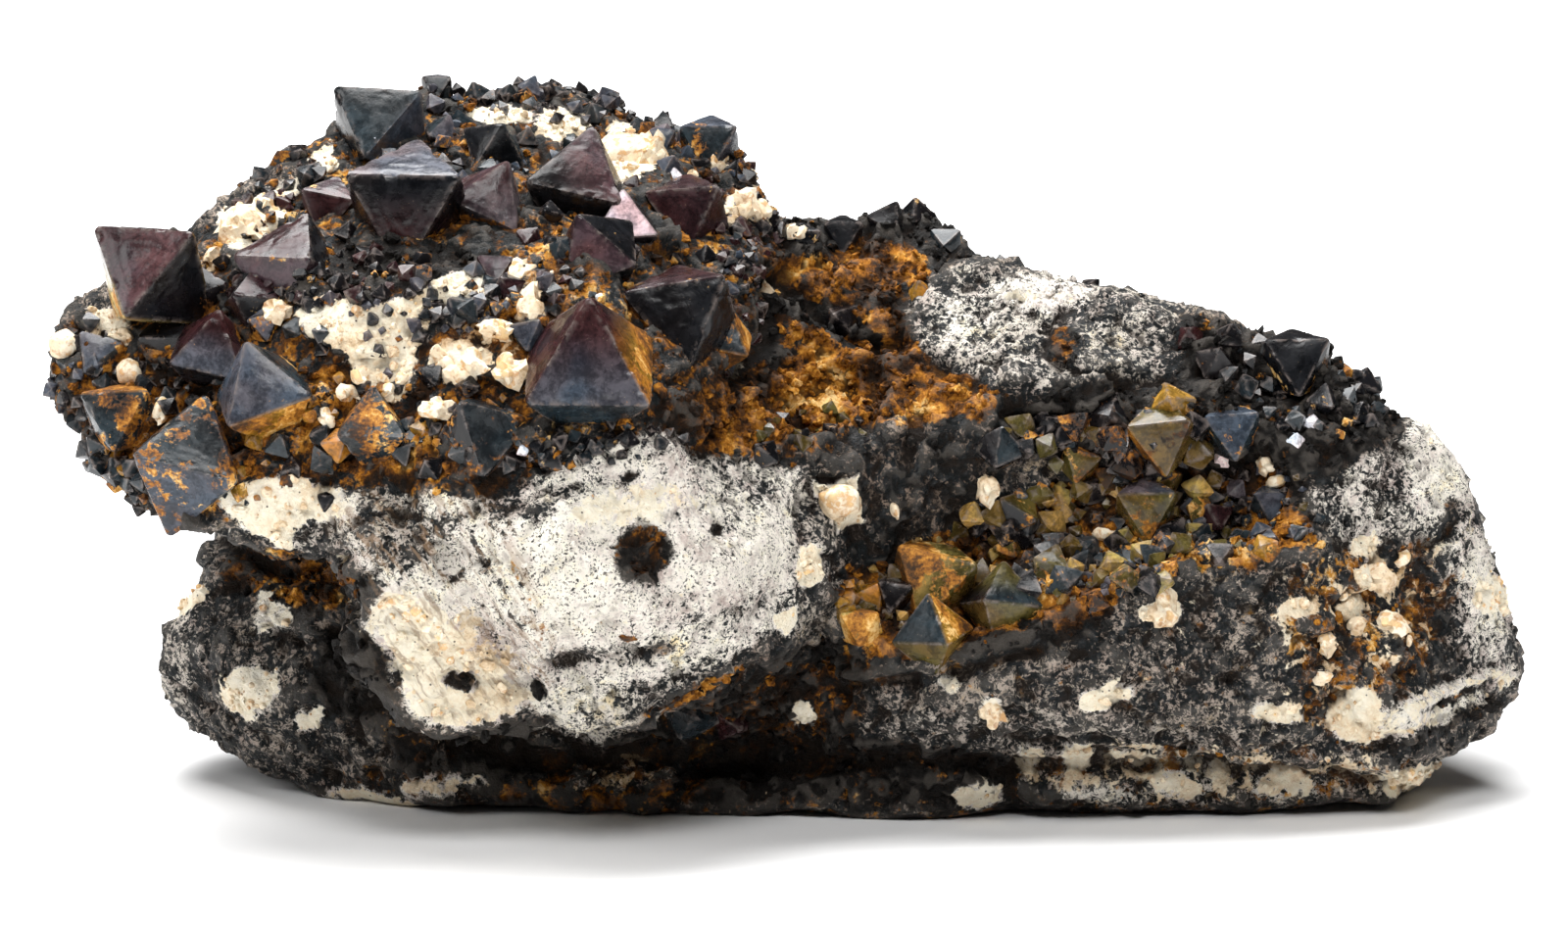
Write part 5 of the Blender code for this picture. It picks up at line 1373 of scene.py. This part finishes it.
def feldspar_material():
    graph = Graph("feldspar_grain")
    broad = graph.noise(3.0, 2.0)
    middle = graph.noise(1.1, 4.0, 0.5)
    fine = graph.noise(0.45, 4.0)
    colour = graph.ramp(graph.stirred(0.42, (fine, 1.0), (broad, 1.6)), CREAM_RAMP)
    stain = graph.spread(graph.stirred(middle, (broad, 0.6), (fine, 0.7)), 0.47, 0.66, 0.0, 0.8)
    colour = graph.mix(stain, colour, rust_colour(graph, broad, middle, fine))
    graph.bump(graph.noise(0.35, 6.0), 0.5, 0.12)
    return graph.finish(colour, 0.55)


# Camera, light and floor

def point_at(obj, place, aim):
    obj.location = Vector(place) * MM
    obj.rotation_euler = (Vector(aim) - Vector(place)).to_track_quat("-Z", "Y").to_euler()


def make_camera():
    camera = bpy.data.objects.new("camera", bpy.data.cameras.new("camera"))
    bpy.context.scene.collection.objects.link(camera)
    camera.data.sensor_width = SENSOR
    camera.data.lens = SENSOR * EYE_DISTANCE / (PICTURE_WIDTH * PIXEL)
    camera.data.clip_start = 0.01
    point_at(camera, EYE, AIM)
    bpy.context.scene.camera = camera


# Each softbox: place, width, height, power in watts.
SOFTBOXES = {
    "top": ((-60.0, 120.0, 440.0), 420.0, 360.0, 5.2),
    "left": ((-420.0, -120.0, 320.0), 240.0, 240.0, 0.9),
    "front": ((40.0, -380.0, 470.0), 260.0, 200.0, 2.0),
}
FLOOR_SIZE = 4000.0
FLOOR_DROP = 0.05
WORLD_GLOW = 0.05
# The floor glows away from the specimen, so that it is pale there and the shadow beside the specimen is dark.
FLOOR_GLOW = 0.7
GLOW_FROM = 62.0
GLOW_TO = 190.0
FAR_GLOW_TO = 1300.0


def make_light():
    for name, (place, width, height, power) in SOFTBOXES.items():
        light = bpy.data.lights.new(name, "AREA")
        light.shape = "RECTANGLE"
        light.size = width * MM
        light.size_y = height * MM
        light.energy = power
        obj = bpy.data.objects.new(name, light)
        bpy.context.scene.collection.objects.link(obj)
        point_at(obj, place, AIM)
    world = bpy.data.worlds.new("studio")
    world.use_nodes = True
    nodes, links = world.node_tree.nodes, world.node_tree.links
    path = nodes.new("ShaderNodeLightPath")
    strength = nodes.new("ShaderNodeMapRange")
    strength.inputs["To Min"].default_value = WORLD_GLOW
    strength.inputs["To Max"].default_value = 1.0
    links.new(path.outputs["Is Camera Ray"], strength.inputs["Value"])
    links.new(strength.outputs["Result"], nodes["Background"].inputs["Strength"])
    nodes["Background"].inputs["Color"].default_value = (1.0, 1.0, 1.0, 1.0)
    bpy.context.scene.world = world


def make_floor():
    half = FLOOR_SIZE / 2
    corners = [(-half, -half, 0), (half, -half, 0), (half, half, 0), (-half, half, 0)]
    floor = mesh_object("floor", corners, [(0, 1, 2), (0, 2, 3)], smooth=False)
    graph = Graph("floor")
    distance = graph.add("ShaderNodeVectorMath", {0: graph.place}, operation="LENGTH").outputs["Value"]
    near = graph.spread(distance, GLOW_FROM, GLOW_TO, 0.0, FLOOR_GLOW)
    far = graph.spread(distance, GLOW_TO, FAR_GLOW_TO, 0.0, 1.0 - FLOOR_GLOW)
    graph.put(graph.math("ADD", near, far), graph.shader.inputs["Emission Strength"])
    graph.shader.inputs["Emission Color"].default_value = (1.0, 1.0, 1.0, 1.0)
    floor.data.materials.append(graph.finish((0.92, 0.92, 0.92, 1.0), 0.9))
    floor.location.z = -FLOOR_DROP * MM


def main():
    bpy.context.scene.view_settings.view_transform = "Standard"
    make_camera()
    make_light()
    make_floor()
    rock_tree = tree_of(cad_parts["matrix_rock"].data)
    magnetite = magnetite_material()
    rock = rock_material()
    feldspar = feldspar_material()
    masks, skin = make_rock(rock_tree, rock)
    places = {name: crystal_place(name, rock_tree) for name in CRYSTALS}
    make_crystals(places, rock_tree, magnetite)
    make_grains(feldspar)
    rng = np.random.default_rng(SEED)
    skin_tree = tree_of(bpy.data.objects["rock_surface"].data)
    make_seen_crystals(rng, skin_tree, magnetite)
    make_seen_chunks(rng, skin_tree, feldspar)
    make_small_crystals(rng, skin, magnetite)
    make_crumbs(rng, skin, masks, {"rock": rock, "feldspar": feldspar})


main()
